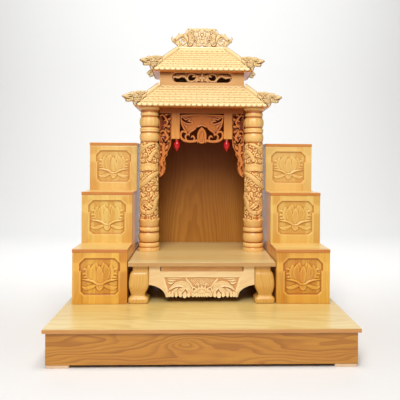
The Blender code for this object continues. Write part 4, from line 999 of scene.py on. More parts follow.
def add_leg(node, side, inner):
    """A leg: at each height a soft square between the outward and the inward reach, in x and in y."""
    outward, height, inward = smooth_path(LEG, 4).T * MM
    corner_y = corners_of(node)[0 if inner > 0 else 1, 1]
    middle, half = ((outward + inward) / 2)[:, None], ((outward - inward) / 2)[:, None]
    round_x, round_y = soft_square(np.linspace(0, 2 * np.pi, 56, endpoint=False) + 0.01)
    x = side * middle + half * round_x
    y = corner_y + inner * (LEG_REACH * MM - middle) + half * round_y
    rings = np.stack([x, y, np.broadcast_to(base_surface + height[:, None], x.shape)], -1)
    return add_piece(node + "_turned", *closed_stack(rings), leg_wood, (node,), angle=50)


for side_name, side in SIDES:
    for depth_name, inner in (("front", 1), ("back", -1)):
        leg = add_leg(f"table_leg_{depth_name}_{side_name}", side, inner)
print("legs:", len(leg.data.polygons), "faces each")

# %% [markdown]
# ### The carved apron
#
# Between the front legs hangs the apron. Its middle is sunk and carved: a blossom under a cross-hatched fan, a
# great arching leaf on each side, and hanging lobes that make the lower edge scalloped. A plain band follows the
# arch beside each leg. The upper edge has a notch, because the shelf slides out through it.

# %% The apron's outline
def ellipse_depth(across, up, centre, radii):
    """Roughly how far inside an ellipse each point is: the shorter radius times 1 minus the scaled distance."""
    return (1.0 - np.hypot((across - centre[0]) / radii[0], (up - centre[1]) / radii[1])) * min(radii)


APRON_LOBES = ((0, 132, 4.5), (9, 131, 4), (18, 131.5, 4.5), (29, 134, 5), (43, 134, 6), (56, 133, 7.5),
               (70, 134.5, 6), (84, 133.5, 5.5), (96, 133.5, 5), (106, 134, 5.5), (113.5, 131, 3.2))
apron_low, apron_high = corners_of("table_apron_front", MM)
shelf_low, shelf_high = corners_of("pull_out_shelf", MM)


def apron_outline(across, up):
    """The apron's depth field: board over lobes and end blocks, less the two arches and the shelf's notch."""
    x = np.abs(across)
    arch = ellipse_depth(x, up, (181, 128.5), (62.5, 40))
    notch = box_depth(x, up, (-900, shelf_low[2] - 0.5), (shelf_high[0] + 2.5, 900))
    board = np.minimum(box_depth(x, up, (-900, 131), (apron_high[0], apron_high[2])), 119 - x)
    lobes = union(x, up, [[(cx, cz, r), (cx + 0.01, cz, r)] for cx, cz, r in APRON_LOBES])
    ends = np.minimum(box_depth(x, up, (116.5, 0), (apron_high[0], apron_high[2])), up - 128)
    return np.minimum(np.maximum(board, np.maximum(lobes, ends)), -np.maximum(arch, notch))


print("apron:", apron_low.round(1), apron_high.round(1))

# %% The apron's carving
GREAT_LEAF = [(36, 132, 4), (41, 150, 8), (51, 165, 10.5), (66, 171, 10), (82, 169, 8), (97, 160, 5), (109, 149, 1.6)]


def carve_apron(across, up):
    """Heights of the apron's face. The drawing is made on the right half and mirrored through the absolute value."""
    x = np.abs(across)
    field = np.minimum(192.5 - up, 0.95 * (106 + np.clip(up - 132, 0, 99) * 0.29 - x))
    sunk = -4.0
    bench = Carving(x, up, sunk * ease_step(-0.5, 2.0, field))
    lattice = np.minimum(28 - x, np.minimum(up - 166, 193 - up))
    hatch = np.minimum(np.abs((x + up) / 7 % 1 - 0.5), np.abs((x - up) / 7 % 1 - 0.5))
    bench.cover(lattice, sunk + 2.6 * ease_step(0.04, 0.34, hatch), 0.8)
    bench.petal(leaf(66, 189.5, 116, 190, 3, -2), sunk, 3.2)
    bench.petal(leaf(86, 182, 113, 184, 3.4, -2), sunk, 3.4)
    bench.petal([(53, 191, 2), (47, 181, 4.6), (38, 168, 5.4), (30, 158, 3)], sunk, 4.2, 0.45, 0.3)
    bench.petal(GREAT_LEAF, sunk + 1.0, 5.2, 0.6, 0.1, ground=1.6, veins=0.15)
    bench.stem([(112, 176, 1.6), (104, 172, 3.2), (96, 173, 2.6), (92, 178, 1.2)], sunk + 0.5, 3.2)
    bench.petal([(55, 160, 3.5), (63, 153, 7.5), (74, 144, 9), (84, 134, 6)], sunk + 0.8, 4.8, 0.55, 0.25, veins=0.12)
    bench.petal([(80, 156, 3), (88, 149, 5.5), (97, 139, 6.5), (106, 131, 4)], sunk + 0.8, 4.6, 0.5, 0.25)
    for cx, cz, r in APRON_LOBES[3:]:
        bench.petal([(cx - 1, cz + 11, 2.5), (cx, cz + 4, r * 0.9), (cx, cz - 1, r), (cx, cz - r + 0.6, 2.0)],
                    sunk + 1.4, 4.8, 0.3, 0.1)
    bench.stem(volute(25, 153, 8, -60, 1.2, 3.2), sunk + 0.6, 4)
    bench.stem(volute(17, 166, 6, 200, -1.1, 2.8), sunk + 0.6, 3.8)
    for tip_x, tip_z, width in ((26, 149, 6), (20, 158, 6), (11, 163, 6), (0, 165, 6.5)):
        bench.petal(leaf(tip_x * 0.4, 136, tip_x, tip_z, width), sunk + 1.4, 4.6, 0.45, 0.2)
    for tip_x, tip_z, width in ((17, 141, 6), (9, 149, 6.5), (0, 152, 6.5)):
        bench.petal(leaf(tip_x * 0.3, 132, tip_x, tip_z, width), sunk + 3.0, 4.6, 0.4, 0.2)
    for cx, cz, r in APRON_LOBES[:4]:
        bench.petal(leaf(cx * 0.6, 140, cx * 1.05, cz - r + 0.5, r * 0.95), sunk + 3.4, 4.6, 0.4, 0.2)
    return bench


grid = np.meshgrid(grid_lines(apron_low[0], apron_high[0], 1.2), grid_lines(120, apron_high[2], 1.2), indexing="ij")
bench = carve_apron(*grid)
thick = apron_high[1] - apron_low[1]
apron = add_carving("table_apron_front", apron_wood, *grid, apron_outline(*grid), bench.height, thick,
                    facing_front(0, apron_low[1] * MM, 0), bench.shade(), name="table_apron_carved")
print("apron:", len(apron.data.polygons), "faces, heights from", bench.height.min().round(1))

# %% [markdown]
# ## Two dragon columns
#
# A column is turned on a lathe at both ends, into rings, a bulb and a flared collar, and carved by hand between.
# As a surface it is a radius for every angle and height. The turned radius is the largest of a few overlapping
# beads. The carving is drawn on the unrolled shaft, a strip as wide as the column's girth, and every stroke is
# drawn again one girth to each side, so that the pattern closes round the back.

# %% The turned profile
TURNED = (  # bottom, top, radius at the edges, radius in the middle (mm above the table)
    (-8, 13.4, 37, 39.4), (13.4, 30.4, 35.4, 38.2), (29.5, 71.4, 29.6, 38.4), (71, 87.2, 34.4, 37.6),
    (399, 436.4, 28.6, 36), (435.8, 443.6, 33, 35.6), (443, 451, 33, 35.6), (450.4, 494, 27, 36.6),
    (493.6, 508.4, 30.4, 33.6),
)


def turned_radius(height):
    """Largest of the beads: edge + (middle - edge) * (1 - t^2)^0.6, t from -1 to 1 across each bead."""
    radius = np.full(height.shape, 30.0)
    for low, high, edge, middle in TURNED:
        t = np.abs(height - (low + high) / 2) / ((high - low) / 2)
        bead = edge + (middle - edge) * np.clip(1 - t**2, 0, 1) ** 0.6
        radius = np.maximum(radius, np.where(t < 1, bead, 0.0))
    collar = 34.6 + 4.4 * np.clip((height - 87.6) / 31, 0, 1) ** 2
    radius = np.where((height > 87.4) & (height < 124), np.maximum(radius, collar), radius)
    flare = 31.2 + 7.6 * np.clip((height - 509) / 13, 0, 1) ** 1.7
    return np.where(height > 508, np.maximum(radius, flare), radius)


MEAN_RADIUS, CORE_RADIUS, COLUMN_SIDES = 34.0, 31.4, 164
girth = 2 * np.pi * MEAN_RADIUS
print("girth:", round(girth, 1), "mm; radius at 50 mm:", turned_radius(np.array([50.0])).round(1))

# %% The carving of the shaft
def shaft_strokes():
    """The dragon's body from tail to neck, its mane and its claws, on the unrolled shaft."""
    body = [
        [(36, 399, 2.5), (14, 392, 5), (-12, 382, 7.5), (-36, 366, 8.5), (-62, 352, 8.5), (-86, 342, 8),
         (-107, 330, 8)],
        [(107, 330, 8), (84, 338, 8.5), (58, 352, 9), (34, 366, 8.5), (14, 352, 8), (4, 334, 8)],
        [(52, 292, 8.5), (30, 282, 9.5), (8, 270, 10), (-14, 252, 10), (-40, 236, 10), (-70, 226, 9.5), (-107, 214, 9)],
        [(107, 214, 9), (78, 206, 9.5), (50, 196, 10), (30, 178, 10), (24, 158, 9.5), (6, 143, 9), (-16, 142, 8.5)],
        [(-16, 142, 8.5), (-34, 152, 8.5), (-38, 168, 8.5), (-26, 184, 9), (-10, 190, 9)],
    ]
    manes = [leaf(-16, 196, -34, 214, 4.5, 3), leaf(-24, 190, -48, 200, 4.5, 3), leaf(-30, 182, -56, 184, 4, 2),
             leaf(4, 196, 12, 216, 4.5, -3), leaf(14, 188, 34, 206, 4.5, 3)]
    claws = [leaf(40, 236, 18, 232, 4, 2), leaf(40, 236, 20, 222, 4, -2), leaf(-44, 262, -22, 276, 4, 2),
             leaf(-44, 262, -54, 286, 4, -2), leaf(58, 256, 76, 242, 4.5, 2), leaf(58, 256, 82, 262, 4.5, 2),
             leaf(60, 132, 40, 128, 4, 2), leaf(-60, 136, -52, 152, 4.5, 2), leaf(-64, 300, -78, 284, 4.5, 2)]
    return body, manes, claws


def fringe(stroke, pitch=8.0, reach=9.0):
    """Small flames that leave a stroke to both sides in turn, leaning back: one every pitch millimetres."""
    path = smooth_path(stroke, 8)
    travelled = np.concatenate([[0], np.cumsum(np.hypot(*np.diff(path[:, :2], axis=0).T))])
    flames = []
    for number, at in enumerate(np.arange(pitch / 2, travelled[-1] - 1, pitch)):
        (x, z, radius), (next_x, next_z, _) = (
            [float(np.interp(place, travelled, path[:, k])) for k in range(3)] for place in (at, at + 1))
        turn = math.atan2(next_z - z, next_x - x) + (2.0 if number % 2 else -2.0)
        near, far = 0.6 * radius, radius + reach
        flames.append(leaf(x + near * math.cos(turn), z + near * math.sin(turn), x + far * math.cos(turn),
                           z + far * math.sin(turn), 3.8, 2.0))
    return flames


def wrapped(stroke, turns=(-1, 0, 1)):
    """The stroke, drawn again one girth to each side where that lies on the strip."""
    copies = [[(s + k * girth, z, r) for s, z, r in stroke] for k in turns]
    return [c for c in copies if min(p[0] - p[2] for p in c) < girth / 2 and max(p[0] + p[2] for p in c) > -girth / 2]


def carve_shaft(along, height):
    """Heights above the core on the unrolled shaft: clouds, then flames, then the dragon and its head, then a belt."""
    bench = Carving(along, height, 0.0)
    body, manes, claws = shaft_strokes()
    for row in range(17):
        for column in range(9):
            s = (column - 4 + 0.5 * (row % 2)) * girth / 9
            z = 122 + row * 17.5
            if 288 < z < 326:
                continue
            start, turns = (200 + 40 * row + 70 * column) % 360, 1.15 if (row + column) % 2 else -1.15
            for stroke in wrapped(volute(s, z, 8.0, start, turns, 3.6)):
                bench.stem(stroke, 0.2, 2.6, ground=0.8)
    flames = [flame for stroke in body for flame in fringe(stroke)]
    for stroke in (w for s in flames + claws + manes for w in wrapped(s)):
        bench.petal(stroke, 1.2, 2.6, 0.35, 0.2, ground=1.2)
    for stroke in (w for s in body for w in wrapped(s)):
        bench.scaly(stroke, 0.4, 4.2, pitch=7.0, ground=1.6, bite=2.4)
    for stroke in ([(-12, 178, 8.5), (-4, 172, 8), (6, 166, 6), (14, 160, 3.5)],
                   [(-10, 168, 4.5), (0, 160, 4), (10, 153, 2.4)]):
        bench.stem(stroke, 1.6, 4.4, ground=1.6)
    bench.boss(-8, 176, 8.4, 1.6, 4.6, 1.6)
    eyelid = [(-8 + 5.4 * math.cos(a), 176 + 5.4 * math.sin(a), 1.7) for a in np.linspace(0, 2 * math.pi, 10)]
    bench.stem(eyelid, 4.6, 1.5, 0.8, 1.4)
    bench.boss(-8, 176, 2.9, 4, 2, 1.6)
    belt = np.minimum(height - 293 - 1.5 * np.cos(along / 9), 321 + 2 * np.cos(along / 8) - height)
    bench.height -= 1.6 * ease_step(-2.2, -0.2, belt) * (belt < 1)
    swell = 0.7 * np.cos(height / 27 * 2 * np.pi - 1) - 0.7 * np.cos(along / 2.6) * ease_step(9, 2, belt)
    bench.cover(belt, 2.9 + swell, 1.0)
    return bench


print("body strokes:", [len(s) for s in shaft_strokes()[0]])

# %% Two columns
def column_levels():
    """Heights of the rings: 1.6 mm apart where the lathe worked, 1.35 mm apart on the shaft."""
    return np.concatenate([grid_lines(0.3, 122, 1.6), grid_lines(123.3, 398, 1.35), grid_lines(399.5, 524.7, 1.6)])


def add_column(side_name, side):
    """Radius = turned profile on the lathe parts; core + carving on the shaft; leaf-edged where the two meet."""
    angle = np.linspace(-np.pi, np.pi, COLUMN_SIDES, endpoint=False)
    height, theta = np.meshgrid(column_levels(), angle, indexing="ij")
    along = -side * theta * MEAN_RADIUS
    bench = carve_shaft(along, height)
    wave = 4.5 * np.abs(np.cos(along / girth * 8 * np.pi)) ** 0.7
    over_collar = ease_step(-0.6, 0.9, height - (113.5 + wave))
    under_skirt = ease_step(-0.6, 0.9, (401 - 6 * np.abs(np.cos(along / girth * 7 * np.pi + 0.6)) ** 0.7) - height)
    on_shaft = over_collar * under_skirt
    pleats = 0.35 * np.cos(along / girth * 24 * np.pi) * (ease_step(456, 464, height) * ease_step(492, 484, height))
    radius = (turned_radius(height) + pleats) * (1 - on_shaft) + (CORE_RADIUS + bench.height) * on_shaft
    bench.height = radius
    low, high = corners_of(f"column_{side_name}")
    centre, turn = (low + high) / 2, theta - np.pi / 2
    rings = np.stack([centre[0] + radius * MM * np.cos(turn), centre[1] + radius * MM * np.sin(turn),
                      low[2] - gap + height * MM], -1)
    shades = np.concatenate([bench.shade(12, 1.1).ravel(), [0.5, 0.5]])
    return add_piece(f"column_{side_name}_carved", *closed_stack(rings), carved_wood, (f"column_{side_name}",),
                     angle=60, shade=shades)


for side_name, side in SIDES:
    column = add_column(side_name, side)
print("column:", len(column.data.polygons), "faces")

# %% [markdown]
# ## Fretwork under the canopy
#
# Three pierced boards hang below the lintel: a cloud-shaped valance between the posts, and a long bracket of foliage
# beside each column. They are sawn through first and then carved, so each needs an outline with holes and a drawing
# of what stands proud. Rims of scrolls are left high, where the hand touches and the light falls.

# %% The valance
VALANCE_FIELD = [
    [(0, -26, 26), (24, -28, 26), (42, -31, 26), (58, -29, 20), (67, -20, 12), (71, -17, 9)],
    [(40, -50, 20), (49, -65, 13), (52, -77, 7)],
    [(73, -14, 7), (74, -28, 6), (68, -44, 8), (60, -58, 9), (52, -70, 8)],
    [(0, -8, 8), (70, -11, 6.5), (78, -12, 5)],
]
VALANCE_SCROLLS = [
    [(56, -76, 3.2), (63, -71, 3.8), (72, -70, 4.4), (77.5, -78, 4.6), (77, -92, 4.8), (67, -103, 5.2), (48, -108, 5.2),
     (27, -107, 4.8), (12, -102, 5)],
    [(53, -106, 3.2), (59, -98, 3.6), (60, -88, 3.8), (54, -81, 3.6), (47, -82, 3.4), (45, -87, 2.8)],
    [(32, -107, 3), (27, -99, 3.4), (29, -91, 3.6), (35, -87, 3.8), (39, -92, 2.6)],
]
VALANCE_FINIAL = [[(0, -54, 1.6), (0, -62, 8), (0, -74, 15), (0, -88, 18), (0, -100, 16)]]
VALANCE_TEETH = [[(x, -102, 3.4), (x * 1.15, -113, 2.2)] for x in (-13, -6.5, 0, 6.5, 13)]
VALANCE_CUTS = [
    [(0, -50, 2), (8, -54, 3), (17, -61, 3.8), (27, -70, 4.6), (36, -78, 5.2), (42, -86, 3.6)],
    [(74, -19, 2.4), (67, -26, 3.6), (58, -32, 3.4), (48, -35, 2.8), (39, -36, 1.2)],
    [(60, -30, 2.4), (52, -25, 1.6), (47, -24, 0.8)],
    [(14, -0.6, 0.8), (30, -1, 1.7), (81, -1.4, 2.2)],
]
VALANCE_SQUEEZE, FRET_STEP, FRET_BACK = 0.957, 1.1, 4.5
low, high = corners_of("valance")
facing_fret = facing_front(0, (low[1] + high[1]) / 2, high[2])
valance_half = high[0] / MM


def valance_outline(across, up):
    """Everything the strokes cover, less the cuts, inside the space between the posts."""
    solid = union(across, up, VALANCE_FIELD + VALANCE_SCROLLS + VALANCE_FINIAL + VALANCE_TEETH)
    depth = np.minimum(solid, -union(across, up, VALANCE_CUTS))
    return np.minimum.reduce([depth, valance_half - across, -up])


def carve_valance(across, up):
    """A smooth field with a raised rim along its wings, and round scrolls around a bud."""
    bench = Carving(across, up, 0.0)
    field = union(across, up, VALANCE_FIELD)
    wing = ease_step(30, 44, across)
    bench.cover(field, 1.2 + 1.8 * wing * np.exp(-(((field - 3.6) / 2.4) ** 2)), 1.0)
    cut = union(across, up, VALANCE_CUTS)
    bench.height += 1.2 * np.exp(-(((cut + 2.6) / 1.6) ** 2))
    for stroke in VALANCE_SCROLLS[1:] + VALANCE_SCROLLS[:1]:
        bench.stem(stroke, 0.6, 4.0, ground=0.5)
        bench.groove([(x, z, 0.35 * r) for x, z, r in stroke], 0.6)
    bench.petal(VALANCE_FINIAL[0], 1.2, 3.0, 0.3, 0.2, ground=0.6)
    bench.petal([(0, -70, 1.5), (0, -82, 6), (0, -96, 7), (0, -106, 3)], 2.4, 2, 0.3, 0.2)
    for stroke in VALANCE_TEETH[2:]:
        bench.stem(stroke, 1.0, 3.0, ground=0.5)
    return bench


def painted_canopy_shade(shade, up):
    """Shade with a painted shadow of the canopy: lower by 0.3 at the lintel, fading over 120 mm."""
    return shade - 0.30 * ease_step(-120, -10, up)


grid = np.meshgrid(grid_lines(-valance_half, valance_half, FRET_STEP), grid_lines(-116, 0, FRET_STEP), indexing="ij")
drawn = np.abs(grid[0]), grid[1] / VALANCE_SQUEEZE
bench = carve_valance(*drawn)
# painted canopy shade, then the whole board 0.14 lighter
shade = painted_canopy_shade(bench.shade(), grid[1]) + 0.14
valance = add_carving("valance", fret_wood, *grid, valance_outline(*drawn), bench.height, FRET_BACK, facing_fret, shade)
print("valance:", len(valance.data.polygons), "faces")

# %% [markdown]
# ### The side brackets
#
# Each bracket is a climbing vine: a main stem with leaves that curl to both sides. The holes between the leaves
# are drawn as strokes too. The inner edge steps back towards the column in soft lobes.

# %% Two brackets
BRACKET_EDGE = (  # drop below the lintel, how far the edge stands back from the post (mm)
    (0, 0), (97, 0), (110, 1.5), (122, 3), (132, 8.5), (143, 13.5), (152, 13), (160, 19), (168, 23.5),
    (176, 22), (186, 20.5), (196, 23), (206, 21), (216, 23), (226, 29), (233, 37), (237, 46),
)
BRACKET_HOLES = [
    [(6, -8, 3), (14, -14, 3.4)], [(34, -14, 3), (28, -22, 3.4), (34, -28, 2.4)], [(8, -34, 3), (12, -42, 2.6)],
    [(22, -52, 2.4), (26, -60, 2.6)], [(6, -74, 2.8), (8, -84, 2.4)], [(34, -70, 2.6), (36, -78, 2.2)],
    [(33, -93, 2.4), (28, -103, 3), (21, -109, 3.4), (15, -102, 2.8)], [(38, -150, 2.4), (35, -158, 2)],
    [(36, -196, 2.4), (34, -204, 2.2)],
]
BRACKET_VINE = [
    [(40, -236, 3), (33, -222, 5), (31, -204, 5.5), (36, -186, 5.5), (33, -166, 5.5), (27, -148, 6), (30, -128, 6),
     (24, -108, 5), (14, -90, 5), (22, -72, 5.5), (24, -52, 5), (14, -36, 4.5), (22, -18, 4), (34, -4, 3)],
]
BRACKET_LEAVES = [
    leaf(30, -212, 22, -190, 5, 3), leaf(34, -226, 44, -214, 4, -2), leaf(36, -188, 44, -174, 4, -2),
    leaf(34, -178, 22, -160, 5.5, 3), leaf(29, -152, 15, -138, 5, 3), leaf(31, -148, 44, -144, 4.5, 2),
    leaf(30, -132, 12, -116, 6, 4), leaf(28, -116, 44, -108, 5, -3), leaf(20, -98, 4, -104, 4.5, 2),
    leaf(16, -92, 2, -84, 4.5, -2), leaf(18, -84, 36, -82, 5, 3), leaf(24, -64, 42, -72, 4.5, 2),
    leaf(22, -56, 4, -68, 4.5, 3), leaf(22, -46, 2, -46, 5, 2), leaf(16, -36, 32, -46, 4.5, -2),
    leaf(18, -28, 40, -30, 4.5, 3), leaf(18, -24, 2, -16, 4.5, 2), leaf(30, -8, 12, -1, 3.5, 1),
    leaf(34, -6, 44, -12, 3.5, 1),
]
bracket_low, bracket_high = corners_of("bracket_right", MM)
bracket_width = bracket_high[0] - bracket_low[0]


def bracket_outline(across, up):
    """The plate between its stepped inner edge and the column, less the holes."""
    drops, set_back = np.array(BRACKET_EDGE, float).T
    inner_edge = across - np.interp(-up, drops, set_back)
    holes = union(across, up, BRACKET_HOLES)
    return np.minimum.reduce([inner_edge, bracket_width - across, -up, up + 237.8, -holes])


def carve_bracket(across, up):
    """Leaves over a sunk ground, the vine over the leaves, and a raised rim along the inner edge."""
    bench = Carving(across, up, 0.0)
    plate = bracket_outline(across, up)
    for number, stroke in enumerate(BRACKET_LEAVES):
        bench.petal(stroke, 0.8, 3.0 + 0.6 * (number % 2), 0.4, 0.2, ground=0.5)
    for stroke in BRACKET_VINE:
        bench.scaly(stroke, 1.4, 3.2, pitch=4.0, ground=0.5)
    bench.height += 1.2 * np.exp(-(((plate - 1.8) / 1.3) ** 2))
    return bench


across, up = np.meshgrid(grid_lines(0, bracket_width, FRET_STEP), grid_lines(-238, 0, FRET_STEP), indexing="ij")
bench, outline_depth = carve_bracket(across, up), bracket_outline(across, up)
# painted canopy shade at the top and a painted lighter lower part, below the shadow
shade = painted_canopy_shade(bench.shade(), up) + 0.22 * ease_step(-100, -190, up)
for side_name, side in SIDES:
    flip = slice(None, None, side)
    x = (side * (across + bracket_low[0]))[flip]
    bracket = add_carving(f"bracket_{side_name}", fret_wood, x, up, outline_depth[flip], bench.height[flip],
                          FRET_BACK, facing_fret, shade[flip])
print("bracket:", len(bracket.data.polygons), "faces")

# %% [markdown]
# ### Two little red lamps
#
# A red glass bulb hangs from each post. It is a lathe shape: a short socket, then a drop that ends in a point. The
# glass is thick and coloured right through, so a glossy coat over a deep red is closer than clear glass.

# %% Lamps
LAMP_SOCKET = ((4.6, -0.3, 0), (5.6, -1.2, 0), (5.6, -2.8, 0), (4.6, -3.6, 0))
LAMP_BULB = ((4.6, -3.7, 0), (6, -4.6, 0), (6.2, -8.6, 0), (7.6, -11, 0), (11.2, -17, 0), (11.9, -23, 0),
             (10.8, -30, 0), (7.4, -36.5, 0), (3.8, -41.5, 0), (1, -46.4, 0))
lamp_glass, glass_tree, glass_shader = new_material("red_lamp_glass")
swirl = place_group(glass_tree, fibre_group, dict(zip(("Along", "Across", "Depth"), grain_axes(glass_tree, "Z"))))
give_out(glass_tree, glass_shader.inputs, {
    "Base Color": mix_colour(glass_tree, swirl["Cloud"], srgb(206, 0, 20), srgb(160, 0, 10)),
    "Roughness": scaled(glass_tree, swirl["Streak"], 0.1, 0.28)})
glass_shader.inputs["Coat Weight"].default_value = 0.3


def lathe(profile, centre, count=40):
    """Rings of a turned piece: radius and height (mm) from a smooth profile that runs downwards."""
    radius, height, _ = smooth_path(profile, 5)[::-1].T * MM
    angle = np.linspace(0, 2 * np.pi, count, endpoint=False)
    ring = [centre[0] + radius[:, None] * np.cos(angle), centre[1] + radius[:, None] * np.sin(angle)]
    return closed_stack(np.stack([*ring, np.broadcast_to(centre[2] + height[:, None], ring[0].shape)], -1))


for side, _ in SIDES:
    low, high = corners_of(f"lamp_{side}")
    hook = (*(low + high)[:2] / 2, high[2] + gap)
    add_piece(f"lamp_{side}_socket", *lathe(LAMP_SOCKET, hook), post_wood)
    lamp = add_piece(f"lamp_{side}_bulb", *lathe(LAMP_BULB, hook), lamp_glass, (f"lamp_{side}",))
print("lamp:", len(lamp.data.polygons), "faces")

# %% [markdown]
# ## Two tiled roofs
#
# The roofs are carved to look like courses of small round-ended tiles. Tiles carved from one board have no gaps
# behind them, so one height field does it, not hundreds of copies. At a point of the slope the tile on top is the
# highest course whose lower edge lies below the point. It is thickest at that edge and thins out under the next
# course, and its edge is a row of round bays, offset by half a tile from course to course.

# %% Tile heights
TILE_WIDTH, TILE_COURSE, TILE_THICK, TILE_HANG = 19.8, 15.2, 3.0, 5.4


def tile_heights(along, up_slope):
    """Height of the tiles (mm) at a distance along the eave and up the slope."""
    def lip_of(course):
        """(distance up the slope of a course's lower edge, its bay): course height - 4.6 * sqrt(bay)."""
        bay = np.abs(np.sin(np.pi * (along / TILE_WIDTH + 0.5 * np.mod(course, 2))))
        return course * TILE_COURSE - 4.6 * np.sqrt(bay + 0.02) + 2.0, bay

    first = np.floor(up_slope / TILE_COURSE)
    start, bay = lip_of(first - 1)
    for course in (first, first + 1):
        lip, lip_bay = lip_of(course)
        start, bay = np.where(up_slope >= lip, (lip, lip_bay), (start, bay))
    share = np.clip((up_slope - start) / (TILE_COURSE + 2), 0, 1)
    return TILE_THICK * (1 - share) * ease_step(-0.1, 0.9, up_slope - start) + 1.0 * bay * (1 - 0.4 * share)


print("tile heights on a line up a slope:", tile_heights(np.zeros(6), np.linspace(0, 12, 6)).round(1))

# %% [markdown]
# ### From slopes to a closed hood
#
# A hood is a ring of slopes whose corners are cut by narrow hips. One ring of points runs round it at each level,
# with as many points at every level, so rows narrow towards the ridge by themselves. The tiles fade out at the hips,
# where slopes meet. The lowest tiles have round ends that hang straight down in front of the eave board, parted by
# gaps painted dark with shade.

# %% The hood surface
def hood_corners(half_x, front, back, z, front_cut, back_cut):
    """Eight corners of a rectangle with cut corners, anticlockwise from the front left, as an (8, 3) array."""
    return np.array([
        (-half_x + front_cut, front, z), (half_x - front_cut, front, z), (half_x, front + front_cut, z),
        (half_x, back - back_cut, z), (half_x - back_cut, back, z), (-half_x + back_cut, back, z),
        (-half_x, back - back_cut, z), (-half_x, front + front_cut, z),
    ])


def tiled_slope(a, b, c, d, u, v, count, tiles_end):
    """(points, heights, round ends) of a tiled slope with lower corners a, b and upper corners c, d.

    Heights are tiles, or a plain cap above the share tiles_end with a joint groove under it, faded out at the hips.
    """
    low, high = a + (b - a) * u[..., None], c + (d - c) * u[..., None]
    flat = low + (high - low) * v[..., None]
    middle, direction = ((c + d) - (a + b)) / 2, (b - a) / np.linalg.norm(b - a)
    length = np.linalg.norm(middle)
    along, up_slope = (flat - (a + b) / 2) @ direction / MM, v * length / MM
    width = np.linalg.norm(flat[:, 1] - flat[:, 0], axis=1)[:, None] * count / MM
    to_hip = np.minimum(u, 1 - u) * width
    tiles = tile_heights(along, up_slope) * ease_step(0.5, 3.0, to_hip)
    last = ease_step(tiles_end + 0.006, tiles_end - 0.006, v)
    bay = np.sin(np.pi * along / TILE_WIDTH)
    joint = np.exp(-((bay / 0.34) ** 2)) * (np.abs(v - tiles_end + 0.02) < 0.016)
    height = tiles * last + 2.4 * (1 - last) - 2.0 * joint * (tiles_end < 0.99) + 1.2
    height *= ease_step(0.0, 1.5, to_hip)
    round_end = (0.3 + 0.7 * np.sqrt(np.abs(bay[0]))) * ease_step(1.0, 5.0, to_hip[0])
    return flat + height[..., None] * MM * np.cross(direction, middle / length), height, round_end


SKIRT = ((0, 1.6, 0), (1, 1.6, 0), (1, 0.2, 0), (0.82, 0, 1), (0.4, 0, 1.4))  # drop, inset, bulge


def add_hood(node, eave, top, steps, levels, tiled, tiles_end):
    """A closed roof between two rings of corners. Slopes listed in tiled are tiled up to the share tiles_end.

    Below the eave follow the five rings of SKIRT: the hanging ends' back, their foot and their rounded face.
    """
    parts = []
    for slope in range(8):
        a, b, c, d = eave[slope], eave[(slope + 1) % 8], top[slope], top[(slope + 1) % 8]
        count = 2 if slope % 2 else steps[slope // 2]
        v, u = np.meshgrid(np.linspace(0, 1, levels), np.linspace(0, 1, count, endpoint=False), indexing="ij")
        if slope in tiled:
            flat, height, round_end = tiled_slope(a, b, c, d, u, v, count, tiles_end)
        else:
            low, high = a + (b - a) * u[..., None], c + (d - c) * u[..., None]
            flat, height, round_end = low + (high - low) * v[..., None], np.zeros(u.shape), np.zeros(count)
        outward = np.array([(b - a)[1], -(b - a)[0], 0.0]) / np.linalg.norm(b - a)
        parts.append((flat, height, round_end[None], np.broadcast_to(outward, flat[:1].shape)))
    rings, heights, round_end, outward = (np.concatenate(part, 1) for part in zip(*parts))
    round_end, outward = round_end[0], outward[0]
    skirt = []
    for share, inset, bulge in SKIRT:
        ring = rings[0] + outward * (bulge * round_end - inset)[:, None] * MM
        ring[:, 2] = eave[0, 2] - share * TILE_HANG * round_end * MM
        skirt.append(ring)
    # painted shade in the tile joints and a painted highlight on the raised lips
    shade = np.clip(0.5 + 0.34 * (heights - soften(heights, 6)), 0, 1)
    # painted shade in the gaps between the hanging ends; their backs and the foot are painted dark too
    skirt_shade = np.clip(0.26 + 0.4 * round_end, 0, 1)
    shade = np.concatenate([np.full(2 * len(round_end), 0.2), np.tile(skirt_shade, 3), shade.ravel(), [0.3, 0.5]])
    points = closed_stack(np.concatenate([np.stack(skirt), rings]))
    return add_piece(node + "_tiled", *points, tile_wood, (node,), angle=50, shade=shade)


lower_low, lower_high = corners_of("lower_roof")
attic_low, attic_high = corners_of("attic_front")
eave = hood_corners(lower_high[0], lower_low[1], lower_high[1], lower_low[2], 6 * MM, 2 * MM)
top = hood_corners(attic_high[0], attic_low[1], lower_high[1], lower_high[2], 6 * MM, 2 * MM)
lower_roof = add_hood("lower_roof", eave, top, (286, 120, 12, 120), 74, (0, 2, 6), 0.985)
print("lower roof:", len(lower_roof.data.polygons), "faces")

# %% The upper roof
upper_low, upper_high = corners_of("upper_roof")
ridge_half, middle_y = 89 * MM, (upper_low[1] + upper_high[1]) / 2
eave = hood_corners(upper_high[0], upper_low[1], upper_high[1], upper_low[2], 6 * MM, 6 * MM)
top = hood_corners(ridge_half, middle_y - 5 * MM, middle_y + 5 * MM, upper_high[2], 2 * MM, 2 * MM)
upper_roof = add_hood("upper_roof", eave, top, (216, 80, 150, 80), 84, (0, 2, 4, 6), 0.915)
print("upper roof:", len(upper_roof.data.polygons), "faces")

# %% [markdown]
# ### The attic
#
# Between the roofs stands a low attic with a long window of scrollwork: a dark leaf low at each end under a wave,
# a hooked round hole beside the middle, and a small diamond flower in it. The walls behind are a three-sided box.
# The board is painted darker towards its top: painted shade where the eave's shadow falls.

